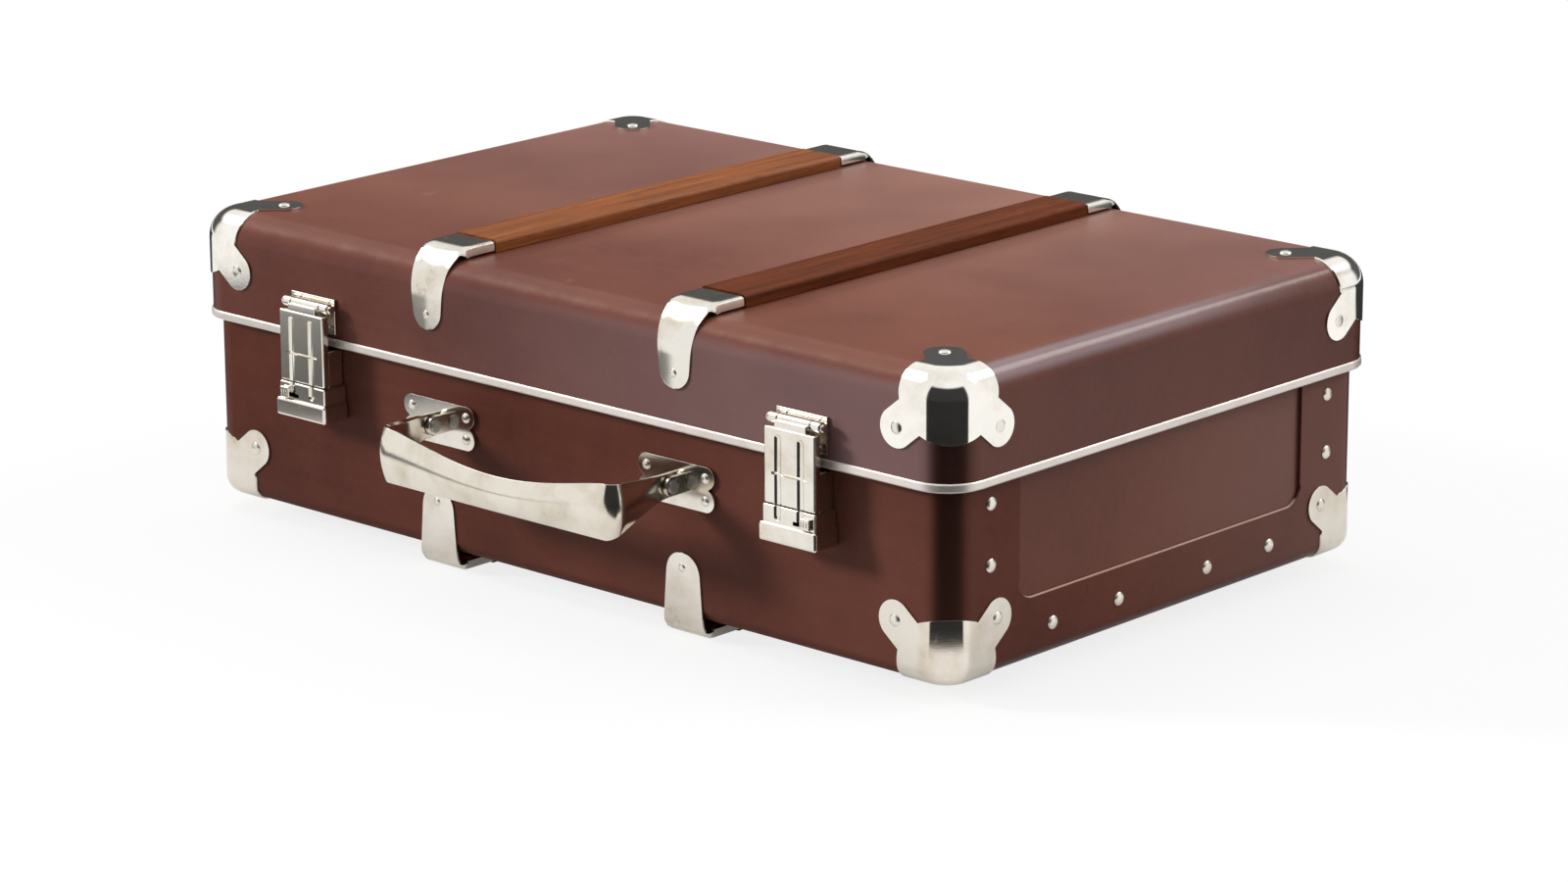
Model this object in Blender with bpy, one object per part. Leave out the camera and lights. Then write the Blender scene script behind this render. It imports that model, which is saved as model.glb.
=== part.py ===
"""Fibre suitcase lying flat on its two wooden runners.

The length runs along X, the handle and the locks are at the front (-Y), the hinges at the back (+Y) and
the lid is on top (+Z). Points are worked out in the case's own frame, with the middle of the case over
the floor at the origin. "Out" is a distance from the middle of the case towards the front or the back.
"""

import math

import bmesh
import bpy
from mathutils import Matrix, Vector

MM = 0.001

# Overall size
LID_LENGTH = 500 * MM
LID_DEPTH = 315 * MM
LID_TOP = 155.5 * MM
LID_CORNER_RADIUS = 20 * MM
LID_EDGE_RADIUS = 14 * MM
LID_WALL = 2 * MM
LID_OVERHANG = 4.7 * MM
BASE_BOTTOM = 9 * MM
BASE_EDGE_RADIUS = 8 * MM
BASE_WALL = 1.6 * MM
PARTING_HEIGHT = 101 * MM
RIM_OVERLAP = 10 * MM

# Clearances
GAP = 0.3 * MM
SWING_GAP = 0.5 * MM

# Pale metal band on the lid's lower edge
BAND_HEIGHT = 4.6 * MM
BAND_PROUD = 1 * MM
BAND_LEG = 0.7 * MM
BAND_FOOT = 1.2 * MM

# Folded ends of the base
FLAP_HEIGHT = 31.5 * MM
TAB_REACH = 48 * MM
WINDOW_RADIUS = 10 * MM

# Wooden frames and linings inside
FRAME_HEIGHT = 12 * MM
LID_FRAME_THICKNESS = 8 * MM
BASE_FRAME_THICKNESS = 5 * MM
LINING = 1 * MM

# Wooden slats with their metal end clips
SLAT_INSET = 168 * MM
SLAT_WIDTH = 28 * MM
SLAT_CHAMFER = 1.6 * MM
LID_SLAT_HEIGHT = 6.5 * MM
CLIP_SHEET = 1 * MM
CLIP_LAP = 20 * MM
CLIP_TIP = 19 * MM
CLIP_REACH = 34 * MM
CLIP_RECESS = 0.2 * MM

# Three-lobed corner caps
CAP_SHEET = 1 * MM
CAP_LOBE = 32 * MM
CAP_LOBE_RADIUS = 9.5 * MM
CAP_BALL = 9 * MM
CAP_BALL_RADIUS = 24 * MM

# Back hinges
HINGE_INSET = 100 * MM
HINGE_WIDTH = 44 * MM
HINGE_LEAF = 1.2 * MM
HINGE_LEAF_HEIGHT = 24 * MM
HINGE_KNUCKLE_RADIUS = 3.2 * MM
HINGE_PIN_RADIUS = 1.5 * MM

# Hasps on the lid
LOCK_INSET = 88 * MM
HASP_WIDTH = 31 * MM
HASP_SHEET = 1.2 * MM
HASP_DISH = 4.2 * MM
HASP_DROP = 39 * MM
HASP_AXIS_RISE = 20 * MM
HASP_KNUCKLE_RADIUS = 2.8 * MM
HASP_PIN_RADIUS = 1.3 * MM
HASP_MIDDLE_KNUCKLE = 19.8 * MM
STAPLE_WIDTH = 2.4 * MM
STAPLE_HEIGHT = 10 * MM
STAPLE_EYE_RADIUS = 2.1 * MM

# Lock cases on the base
LOCK_WIDTH = 35 * MM
LOCK_SHEET = 1.4 * MM
LOCK_BLOCK_HEIGHT = 17.5 * MM
LOCK_PROUD = 2 * MM
NOTCH_WIDTH = 8 * MM
BOLT_RADIUS = 1.5 * MM
BOLT_TRAVEL = 7 * MM
THUMB_WIDTH = 8 * MM
THUMB_HEIGHT = 9 * MM
THUMB_NECK = 2.8 * MM
THUMB_PROUD = 2.4 * MM

# Handle
HANDLE_SPACING = 158 * MM
HANDLE_HEIGHT = 75 * MM
HANDLE_REACH = 44 * MM
HANDLE_SHEET = 2.4 * MM
HANDLE_BEND = 7.5 * MM
HANDLE_EYE = 5.8 * MM
HANDLE_PIN_RADIUS = 2 * MM
HANDLE_PIN_OUT = 7.7 * MM
GRIP_DROP = 20 * MM
GRIP_RISE = 6.5 * MM
GRIP_DIP = 10 * MM
BRACKET_WIDTH = 50 * MM
BRACKET_HEIGHT = 22 * MM
BRACKET_SHEET = 1.2 * MM
LUG_THICKNESS = 2.2 * MM
BACKING_SHEET = 1 * MM

# Roundness of the facets
CORNER_STEPS = 6
EDGE_STEPS = 4
CIRCLE_STEPS = 16

# Places along the case that follow its length
HINGE_SPACING = LID_LENGTH - 2 * HINGE_INSET
LOCK_SPACING = LID_LENGTH - 2 * LOCK_INSET
SLAT_SPACING = LID_LENGTH - 2 * SLAT_INSET

# Faces that the pieces fit to
LID_HALF_X = LID_LENGTH / 2
LID_FRONT = LID_DEPTH / 2
BASE_HALF_X = LID_HALF_X - LID_OVERHANG
BASE_FRONT = LID_FRONT - LID_OVERHANG
BASE_CORNER_RADIUS = LID_CORNER_RADIUS - LID_OVERHANG
BASE_RIM = PARTING_HEIGHT + RIM_OVERLAP
LID_RIM = PARTING_HEIGHT + BAND_FOOT + GAP
BAND_TOP = PARTING_HEIGHT + BAND_HEIGHT
END_PANEL_OUT = BASE_HALF_X - BASE_WALL - GAP
BASE_INNER_X = END_PANEL_OUT - BASE_WALL - GAP
BASE_INNER_FRONT = BASE_FRONT - BASE_WALL - GAP
INNER_CORNER_RADIUS = BASE_CORNER_RADIUS - BASE_WALL - 2 * GAP

# Joint axes in the case's frame, as distance out and height
HINGE_OUT = LID_FRONT + BAND_PROUD + GAP + HINGE_KNUCKLE_RADIUS
HINGE_HEIGHT = PARTING_HEIGHT + BAND_HEIGHT / 2
HASP_PLATE_OUT = LID_FRONT + GAP + HASP_SHEET
HASP_OUT = HASP_PLATE_OUT + SWING_GAP + HASP_KNUCKLE_RADIUS
HASP_HEIGHT = PARTING_HEIGHT + HASP_AXIS_RISE
HANDLE_OUT = BASE_FRONT + HANDLE_PIN_OUT
LID_AXIS = Vector((0, HINGE_OUT, HINGE_HEIGHT))

SIDES = {"left": -1, "right": 1}
ENDS = {"front": -1, "back": 1}


def new_collection(name):
    """Adds a collection of this name to the scene."""
    collection = bpy.data.collections.new(name)
    bpy.context.scene.collection.children.link(collection)
    return collection


def new_material(name, color, roughness, metallic):
    """Adds a plain surface with this linear colour, roughness and metalness."""
    material = bpy.data.materials.new(name)
    material.use_nodes = True
    surface = material.node_tree.nodes["Principled BSDF"]
    surface.inputs["Base Color"].default_value = (*color, 1.0)
    surface.inputs["Roughness"].default_value = roughness
    surface.inputs["Metallic"].default_value = metallic
    return material


def clear_scene():
    """Removes every object that the scene starts with."""
    for thing in list(bpy.data.objects):
        bpy.data.objects.remove(thing)


clear_scene()
PARTS = new_collection("suitcase")
CUTTERS = new_collection("cutters")

FIBRE = new_material("brown_fibre", (0.105, 0.042, 0.030), 0.42, 0.0)
NICKEL = new_material("nickel_plate", (0.78, 0.74, 0.69), 0.22, 1.0)
BAND_METAL = new_material("pale_band", (0.86, 0.80, 0.76), 0.35, 1.0)
SLAT_WOOD = new_material("varnished_slat", (0.26, 0.105, 0.045), 0.38, 0.0)
FRAME_WOOD = new_material("frame_wood", (0.48, 0.33, 0.19), 0.60, 0.0)
LINING_PAPER = new_material("lining_paper", (0.62, 0.52, 0.38), 0.85, 0.0)
STEEL = new_material("plain_steel", (0.52, 0.51, 0.49), 0.38, 1.0)

ROOT = bpy.data.objects.new("suitcase_frame", None)
LID_FRAME = bpy.data.objects.new("lid_hinge_axis", None)
PARTS.objects.link(ROOT)
PARTS.objects.link(LID_FRAME)
LID_FRAME.parent = ROOT
LID_FRAME.location = LID_AXIS


def add_object(name, mesh_data, material, collection):
    """Makes an object of a finished bmesh, smooth except at its sharp edges."""
    bmesh.ops.recalc_face_normals(mesh_data, faces=mesh_data.faces)
    mesh = bpy.data.meshes.new(name)
    mesh_data.to_mesh(mesh)
    mesh_data.free()
    mesh.shade_smooth()
    mesh.set_sharp_from_angle(angle=math.radians(35))
    thing = bpy.data.objects.new(name, mesh)
    collection.objects.link(thing)
    thing.parent = ROOT
    if material is not None:
        mesh.materials.append(material)
    return thing


def loft(name, rings, material, closed=False):
    """Skins rings of equal point count into one solid; a closed row of rings joins its ends."""
    collection = CUTTERS if material is None else PARTS
    mesh_data = bmesh.new()
    rows = [[mesh_data.verts.new(point) for point in ring] for ring in rings]
    count = len(rings[0])
    pairs = list(zip(rows, rows[1:]))
    if closed:
        pairs.append((rows[-1], rows[0]))
    else:
        mesh_data.faces.new(rows[0])
        mesh_data.faces.new(rows[-1])
    for lower, upper in pairs:
        for index in range(count):
            following = (index + 1) % count
            mesh_data.faces.new((lower[index], lower[following], upper[following], upper[index]))
    thing = add_object(name, mesh_data, material, collection)
    if material is None:
        thing.hide_render = True
        thing.display_type = "WIRE"
    return thing


def on_plane(axis, first, second, depth):
    """Places an outline's point: first and second lie in the plane across the axis, depth along it."""
    if axis == "X":
        return Vector((depth, first, second))
    if axis == "Y":
        return Vector((first, depth, second))
    return Vector((first, second, depth))


def prism(name, outline, axis, low, high, material=None):
    """Extrudes a flat outline along an axis from low to high; with no material it is a cutter."""
    rings = [[on_plane(axis, first, second, depth) for first, second in outline] for depth in (low, high)]
    return loft(name, rings, material)


def rectangle(low_first, high_first, low_second, high_second):
    """Outline of a plain rectangle."""
    return [
        (low_first, low_second),
        (high_first, low_second),
        (high_first, high_second),
        (low_first, high_second),
    ]


def circle(first, second, radius, steps=CIRCLE_STEPS):
    """Outline of a circle."""
    turns = [2 * math.pi * step / steps for step in range(steps)]
    return [(first + radius * math.cos(turn), second + radius * math.sin(turn)) for turn in turns]


def capsule(start, end, radius, steps=10):
    """Outline of a strip with round ends between two points."""
    heading = math.atan2(end[1] - start[1], end[0] - start[0])
    outline = []
    for centre, opening in ((end, heading - math.pi / 2), (start, heading + math.pi / 2)):
        for step in range(steps + 1):
            turn = opening + math.pi * step / steps
            outline.append((centre[0] + radius * math.cos(turn), centre[1] + radius * math.sin(turn)))
    return outline


def rounded_outline(half_first, half_second, radius, steps=CORNER_STEPS):
    """Outline of a rectangle about zero with round corners."""
    outline = []
    for corner in range(4):
        side_first = 1 if corner in (0, 3) else -1
        side_second = 1 if corner in (0, 1) else -1
        for step in range(steps + 1):
            turn = math.pi / 2 * (corner + step / steps)
            first = side_first * (half_first - radius) + radius * math.cos(turn)
            second = side_second * (half_second - radius) + radius * math.sin(turn)
            outline.append((first, second))
    return outline


def level_ring(half_x, half_y, radius, height):
    """Ring of a round-cornered rectangle lying level at a height."""
    return [Vector((x, y, height)) for x, y in rounded_outline(half_x, half_y, radius)]


def tray_rings(half_x, half_y, corner_radius, edge_radius, rim, crown):
    """Rings of one face of a tray, from its rim round its edge to the flat crown above or below."""
    direction = 1 if crown > rim else -1
    rings = [level_ring(half_x, half_y, corner_radius, rim)]
    for step in range(EDGE_STEPS + 1):
        turn = math.pi / 2 * step / EDGE_STEPS
        inset = edge_radius * (1 - math.cos(turn))
        height = crown - direction * edge_radius * (1 - math.sin(turn))
        rings.append(level_ring(half_x - inset, half_y - inset, corner_radius - inset, height))
    return rings


def tray(name, half_x, half_y, corner_radius, edge_radius, rim, crown, wall, material):
    """Open tray of one wall thickness; its crown is its closed face."""
    inward = wall if crown > rim else -wall
    outer = tray_rings(half_x, half_y, corner_radius, edge_radius, rim, crown)
    inner = tray_rings(
        half_x - wall, half_y - wall, corner_radius - wall, edge_radius - wall, rim, crown - inward
    )
    return loft(name, inner[::-1] + outer, material)


def frame_ring(name, half_x, half_y, radius, thickness, low, high, material):
    """Rectangular frame of square section with round corners."""
    sections = ((0, low), (0, high), (thickness, high), (thickness, low))
    rings = [
        level_ring(half_x - inset, half_y - inset, radius - min(inset, radius - MM), height)
        for inset, height in sections
    ]
    return loft(name, rings, material, closed=True)


def strap(name, path, half_widths, thickness, centre_x, end, material):
    """Bent sheet strip along a path of (out, height) points on its inner side.

    The sheet lies to the left of the path's direction, seen from +X with the front at the left when end
    is "back"; half_widths gives its half width along X at each point.
    """
    side = ENDS[end]
    rings = []
    for index, (out, height) in enumerate(path):
        before = path[max(index - 1, 0)]
        after = path[min(index + 1, len(path) - 1)]
        normals = []
        for first, second in ((before, (out, height)), ((out, height), after)):
            along = Vector((second[0] - first[0], second[1] - first[1]))
            if along.length > 0:
                normals.append(Vector((-along.y, along.x)).normalized())
        normal = sum(normals, Vector((0, 0))).normalized()
        reach = thickness / max(normal.dot(normals[0]), 0.3)
        outer_out = out + normal.x * reach
        outer_height = height + normal.y * reach
        half = half_widths[index]
        rings.append([
            Vector((centre_x - half, side * out, height)),
            Vector((centre_x + half, side * out, height)),
            Vector((centre_x + half, side * outer_out, outer_height)),
            Vector((centre_x - half, side * outer_out, outer_height)),
        ])
    return loft(name, rings, material)


def boolean(target, operation, tool):
    """Adds a Boolean step to a solid."""
    step = target.modifiers.new(f"{operation.lower()}_{tool.name}", "BOOLEAN")
    step.operation = operation
    step.solver = "EXACT"
    step.object = tool


def place(thing, parent, origin):
    """Moves a solid's origin to a point of the case's frame and hangs it on a parent there."""
    parent_point = LID_AXIS if parent is LID_FRAME else Vector((0, 0, 0))
    thing.data.transform(Matrix.Translation(-origin))
    thing.parent = parent
    thing.location = origin - parent_point


def on_lid(thing):
    """Hangs a solid on the lid's hinge axis."""
    place(thing, LID_FRAME, LID_AXIS)
    return thing


def build_lid_shell():
    """Pressed fibre lid, the metal band on its edge, its inner frame and its lining."""
    on_lid(tray(
        "lid_shell", LID_HALF_X, LID_FRONT, LID_CORNER_RADIUS, LID_EDGE_RADIUS,
        LID_RIM, LID_TOP, LID_WALL, FIBRE,
    ))
    leg_inside = LID_WALL + GAP
    leg_back = leg_inside + BAND_LEG
    foot = PARTING_HEIGHT + BAND_FOOT
    bead = 0.8 * MM
    section = (
        (BAND_PROUD - bead, PARTING_HEIGHT),
        (BAND_PROUD, PARTING_HEIGHT + bead),
        (BAND_PROUD, BAND_TOP - bead),
        (GAP, BAND_TOP),
        (GAP, foot),
        (-leg_inside, foot),
        (-leg_inside, BAND_TOP),
        (-leg_back, BAND_TOP),
        (-leg_back, PARTING_HEIGHT + bead),
        (-leg_back + bead, PARTING_HEIGHT),
    )
    rings = [
        level_ring(LID_HALF_X + out, LID_FRONT + out, LID_CORNER_RADIUS + out, height)
        for out, height in section
    ]
    on_lid(loft("lid_edge_band", rings, BAND_METAL, closed=True))
    inside = LID_WALL + GAP
    frame_low = BASE_RIM + GAP
    frame_high = frame_low + FRAME_HEIGHT
    on_lid(frame_ring(
        "lid_rim_frame", LID_HALF_X - inside, LID_FRONT - inside, LID_CORNER_RADIUS - inside,
        LID_FRAME_THICKNESS, frame_low, frame_high, FRAME_WOOD,
    ))
    on_lid(tray(
        "lid_lining", LID_HALF_X - inside, LID_FRONT - inside, LID_CORNER_RADIUS - inside,
        LID_EDGE_RADIUS - LID_WALL, frame_high + GAP, LID_TOP - inside, LINING, LINING_PAPER,
    ))


def build_base_shell():
    """Folded fibre base with its riveted end panels, inner frame and lining."""
    shell = tray(
        "base_tray", BASE_HALF_X, BASE_FRONT, BASE_CORNER_RADIUS, BASE_EDGE_RADIUS,
        BASE_RIM, BASE_BOTTOM, BASE_WALL, FIBRE,
    )
    half_window = BASE_FRONT - TAB_REACH
    flap_top = BASE_BOTTOM + FLAP_HEIGHT
    half_rise = BASE_RIM - flap_top
    window = [
        (first, BASE_RIM + second)
        for first, second in rounded_outline(half_window, half_rise, WINDOW_RADIUS)
    ]
    panel_low = BASE_BOTTOM + BASE_EDGE_RADIUS + GAP
    half_panel = BASE_FRONT - BASE_CORNER_RADIUS - GAP
    for side, sign in SIDES.items():
        low, high = sorted((sign * (BASE_HALF_X - BASE_WALL - GAP / 2), sign * (BASE_HALF_X + BASE_WALL)))
        boolean(shell, "DIFFERENCE", prism(f"end_window_{side}", window, "X", low, high))
        low, high = sorted((sign * END_PANEL_OUT, sign * (END_PANEL_OUT - BASE_WALL)))
        prism(
            f"base_end_panel_{side}", rectangle(-half_panel, half_panel, panel_low, BASE_RIM), "X",
            low, high, FIBRE,
        )
    frame_low = BASE_RIM - FRAME_HEIGHT
    frame_ring(
        "base_rim_frame", BASE_INNER_X, BASE_INNER_FRONT, INNER_CORNER_RADIUS,
        BASE_FRAME_THICKNESS, frame_low, BASE_RIM, FRAME_WOOD,
    )
    tray(
        "base_lining", BASE_INNER_X, BASE_INNER_FRONT - BACKING_SHEET - GAP, INNER_CORNER_RADIUS,
        BASE_EDGE_RADIUS - BASE_WALL, frame_low - GAP, BASE_BOTTOM + BASE_WALL + GAP, LINING, LINING_PAPER,
    )


def slat(name, centre_x, half_length, seat, face, recess):
    """Wooden slat with chamfered edges, let in at both ends for its clips; face is its outer face."""
    direction = 1 if face > seat else -1
    step = 0.5 * MM
    shoulder = half_length - CLIP_LAP
    rings = []
    for out, depth in (
        (-half_length, recess), (-shoulder, recess), (-shoulder + step, 0),
        (shoulder - step, 0), (shoulder, recess), (half_length, recess),
    ):
        half = SLAT_WIDTH / 2
        if depth > 0:
            half -= CLIP_RECESS + CLIP_SHEET + GAP
        outer = face - direction * depth
        edge = outer - direction * SLAT_CHAMFER
        rings.append([
            Vector((centre_x - half, out, seat)),
            Vector((centre_x + half, out, seat)),
            Vector((centre_x + half, out, edge)),
            Vector((centre_x + half - SLAT_CHAMFER, out, outer)),
            Vector((centre_x - half + SLAT_CHAMFER, out, outer)),
            Vector((centre_x - half, out, edge)),
        ])
    return loft(name, rings, SLAT_WOOD)


def end_clip(name, path, half_widths, thickness, centre_x, end, seat):
    """Clip over a slat's end: a strap from its top down the wall, with a cheek on each side of the slat."""
    clip = strap(name, path, half_widths, thickness, centre_x, end, NICKEL)
    outs = sorted((ENDS[end] * (path[0][0] + CLIP_RECESS), ENDS[end] * (path[1][0] - CLIP_RECESS)))
    heights = sorted((seat, path[0][1] + thickness / 2))
    for side, sign in SIDES.items():
        insets = (CLIP_RECESS, CLIP_RECESS + CLIP_SHEET)
        edges = sorted(centre_x + sign * (SLAT_WIDTH / 2 - inset) for inset in insets)
        outline = rectangle(outs[0], outs[1], heights[0], heights[1])
        boolean(clip, "UNION", prism(f"{name}_cheek_{side}", outline, "X", edges[0], edges[1]))
    return clip


def tongue_widths(lap_width, foot_width, tip_width):
    """Half widths of a clip from its lap on the slat to its round tip on the wall."""
    round_tip = [tip_width * math.cos(math.radians(turn)) for turn in (0, 30, 55, 75)]
    middle = (foot_width + tip_width) / 2
    return [lap_width, lap_width, foot_width, foot_width, middle] + round_tip


def build_slats():
    """Slats over the lid and runners under the base, with a clip over each end."""
    clip_gap = CLIP_SHEET + GAP
    lid_half = LID_FRONT - LID_EDGE_RADIUS + MM
    lid_face = LID_TOP + LID_SLAT_HEIGHT
    base_half = BASE_FRONT - BASE_EDGE_RADIUS / 2
    lap_half = SLAT_WIDTH / 2
    tip_half = CLIP_TIP / 2
    lid_clip_half = tongue_widths(lap_half, lap_half - MM, tip_half)
    base_clip_half = tongue_widths(lap_half, lap_half - MM, tip_half + MM)
    tip_steps = [tip_half * (1 - math.sin(math.radians(turn))) for turn in (0, 30, 55, 75)]

    edge = LID_EDGE_RADIUS + GAP
    edge_out = LID_FRONT - LID_EDGE_RADIUS
    edge_height = LID_TOP - LID_EDGE_RADIUS
    lap_height = lid_face - CLIP_SHEET
    lid_wall_out = LID_FRONT + GAP
    lid_tip = LID_TOP - CLIP_REACH - GAP
    lid_path = [
        (lid_half - CLIP_LAP + MM, lap_height),
        (lid_half + GAP, lap_height),
    ]
    for turn in (45, 67.5, 90):
        bend = math.radians(turn)
        lid_path.append((edge_out + edge * math.sin(bend), edge_height + edge * math.cos(bend)))
    lid_path += [(lid_wall_out, lid_tip + step) for step in tip_steps]

    base_wall_out = BASE_FRONT + GAP
    base_lap = CLIP_RECESS + CLIP_SHEET
    base_tip = BASE_BOTTOM + CLIP_REACH - MM
    base_path = [
        (base_half - CLIP_LAP + MM, base_lap),
        (base_half + GAP, base_lap),
        (base_wall_out - MM, BASE_BOTTOM / 2),
        (base_wall_out, BASE_BOTTOM),
        (base_wall_out, BASE_BOTTOM + BASE_EDGE_RADIUS),
    ]
    base_path += [(base_wall_out, base_tip - step) for step in tip_steps]

    for side, sign in SIDES.items():
        centre_x = sign * SLAT_SPACING / 2
        on_lid(slat(f"lid_slat_{side}", centre_x, lid_half, LID_TOP + GAP, lid_face, clip_gap))
        slat(f"base_slat_{side}", centre_x, base_half, BASE_BOTTOM - GAP, 0, clip_gap + CLIP_RECESS)
        for end in ENDS:
            on_lid(end_clip(
                f"lid_clip_{end}_{side}", lid_path, lid_clip_half, CLIP_SHEET, centre_x, end,
                LID_TOP + 2 * GAP,
            ))
            end_clip(
                f"base_clip_{end}_{side}", base_path, base_clip_half, -CLIP_SHEET, centre_x, end,
                BASE_BOTTOM - 2 * GAP,
            )


def ball(name, centre, radius):
    """Round cutter."""
    mesh_data = bmesh.new()
    bmesh.ops.create_uvsphere(
        mesh_data, u_segments=20, v_segments=10, radius=radius, matrix=Matrix.Translation(centre)
    )
    thing = add_object(name, mesh_data, None, CUTTERS)
    thing.hide_render = True
    thing.display_type = "WIRE"
    return thing


def corner_cap(name, half_x, half_y, corner_radius, edge_radius, rim, crown, signs):
    """Pressed cap over one corner: a shell of the corner kept inside a ball and three round lobes."""
    sign_x, sign_y = signs
    sign_z = 1 if crown > rim else -1
    outer = GAP + CAP_SHEET
    cap = loft(name, tray_rings(
        half_x + outer, half_y + outer, corner_radius + outer, edge_radius + outer,
        rim, crown + sign_z * outer,
    ), NICKEL)
    core = loft(f"{name}_core", tray_rings(
        half_x + GAP, half_y + GAP, corner_radius + GAP, edge_radius + GAP,
        rim - sign_z * MM, crown + sign_z * GAP,
    ), None)
    centre = Vector((sign_x * (half_x - CAP_BALL), sign_y * (half_y - CAP_BALL), crown - sign_z * CAP_BALL))
    shape = ball(f"{name}_shape", centre, CAP_BALL_RADIUS)
    depth = CAP_LOBE - CAP_LOBE_RADIUS
    for axis, faces in (
        ("X", ((sign_x, half_x), (sign_y, half_y), (sign_z, crown))),
        ("Y", ((sign_y, half_y), (sign_x, half_x), (sign_z, crown))),
        ("Z", ((sign_z, crown), (sign_x, half_x), (sign_y, half_y))),
    ):
        spots = []
        for inset in (CAP_BALL, CAP_LOBE):
            spots.append(tuple(
                crown - sign_z * inset if face is crown else sign * (face - inset)
                for sign, face in faces[1:]
            ))
        sign, face = faces[0]
        surface = crown if face is crown else sign * face
        low, high = sorted((surface + sign * 4 * MM, surface - sign * depth))
        lobe = prism(f"{name}_lobe_{axis}", capsule(spots[0], spots[1], CAP_LOBE_RADIUS), axis, low, high)
        boolean(shape, "UNION", lobe)
    boolean(cap, "INTERSECT", shape)
    boolean(cap, "DIFFERENCE", core)
    return cap


def build_corners():
    """Eight corner caps, four on the lid and four on the base."""
    for end, sign_y in ENDS.items():
        for side, sign_x in SIDES.items():
            on_lid(corner_cap(
                f"lid_corner_{end}_{side}", LID_HALF_X, LID_FRONT, LID_CORNER_RADIUS, LID_EDGE_RADIUS,
                LID_RIM, LID_TOP, (sign_x, sign_y),
            ))
            corner_cap(
                f"base_corner_{end}_{side}", BASE_HALF_X, BASE_FRONT, BASE_CORNER_RADIUS, BASE_EDGE_RADIUS,
                BASE_RIM, BASE_BOTTOM, (sign_x, sign_y),
            )


def build_hinges():
    """Two cranked hinges at the back: base leaf with two knuckles, lid leaf with one, and the pin."""
    third = HINGE_WIDTH / 3
    half = HINGE_WIDTH / 2
    lid_wall_out = LID_FRONT + GAP
    base_wall_out = BASE_FRONT + GAP
    lid_path = [
        (HINGE_OUT - HINGE_KNUCKLE_RADIUS / 3, HINGE_HEIGHT + HINGE_KNUCKLE_RADIUS * 0.8),
        (HINGE_OUT - HINGE_KNUCKLE_RADIUS / 2, BAND_TOP + MM),
        (lid_wall_out, BAND_TOP + 4 * MM),
        (lid_wall_out, BAND_TOP + 4 * MM + HINGE_LEAF_HEIGHT),
    ]
    base_path = [
        (base_wall_out, PARTING_HEIGHT - 6 * MM - HINGE_LEAF_HEIGHT),
        (base_wall_out, PARTING_HEIGHT - 6 * MM),
        (HINGE_OUT - MM, HINGE_HEIGHT - HINGE_KNUCKLE_RADIUS * 0.8),
    ]
    for side, sign in SIDES.items():
        centre = sign * HINGE_SPACING / 2
        lid_leaf = on_lid(strap(
            f"hinge_lid_leaf_{side}", lid_path, [third / 2 - GAP, third / 2 - GAP, half, half],
            -HINGE_LEAF, centre, "back", NICKEL,
        ))
        base_leaf = strap(
            f"hinge_base_leaf_{side}", base_path, [half] * 3, -HINGE_LEAF, centre, "back", NICKEL
        )
        ring = circle(HINGE_OUT, HINGE_HEIGHT, HINGE_KNUCKLE_RADIUS)
        bore = circle(HINGE_OUT, HINGE_HEIGHT, HINGE_PIN_RADIUS + GAP)
        barrel = prism(f"hinge_barrel_{side}", ring, "X", centre - half, centre + half)
        space = prism(
            f"hinge_space_{side}",
            rectangle(LID_FRONT + MM, HINGE_OUT + 2 * HINGE_KNUCKLE_RADIUS,
                      PARTING_HEIGHT - HINGE_KNUCKLE_RADIUS, BAND_TOP + HINGE_KNUCKLE_RADIUS),
            "X", centre - third / 2, centre + third / 2,
        )
        middle = prism(
            f"hinge_middle_{side}", ring, "X", centre - third / 2 + GAP, centre + third / 2 - GAP
        )
        hole = prism(f"hinge_bore_{side}", bore, "X", centre - HINGE_WIDTH, centre + HINGE_WIDTH)
        boolean(base_leaf, "UNION", barrel)
        boolean(base_leaf, "DIFFERENCE", space)
        boolean(base_leaf, "DIFFERENCE", hole)
        boolean(lid_leaf, "UNION", middle)
        boolean(lid_leaf, "DIFFERENCE", hole)
        prism(
            f"hinge_pin_{side}", circle(HINGE_OUT, HINGE_HEIGHT, HINGE_PIN_RADIUS, 12), "X",
            centre - half, centre + half, STEEL,
        )


def front_box(name, centre_x, half_width, outs, heights, material=None):
    """Block on the front of the case, given by its half width, its reach out and its heights."""
    return prism(
        name, rectangle(-outs[1], -outs[0], heights[0], heights[1]), "X",
        centre_x - half_width, centre_x + half_width, material,
    )


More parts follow.
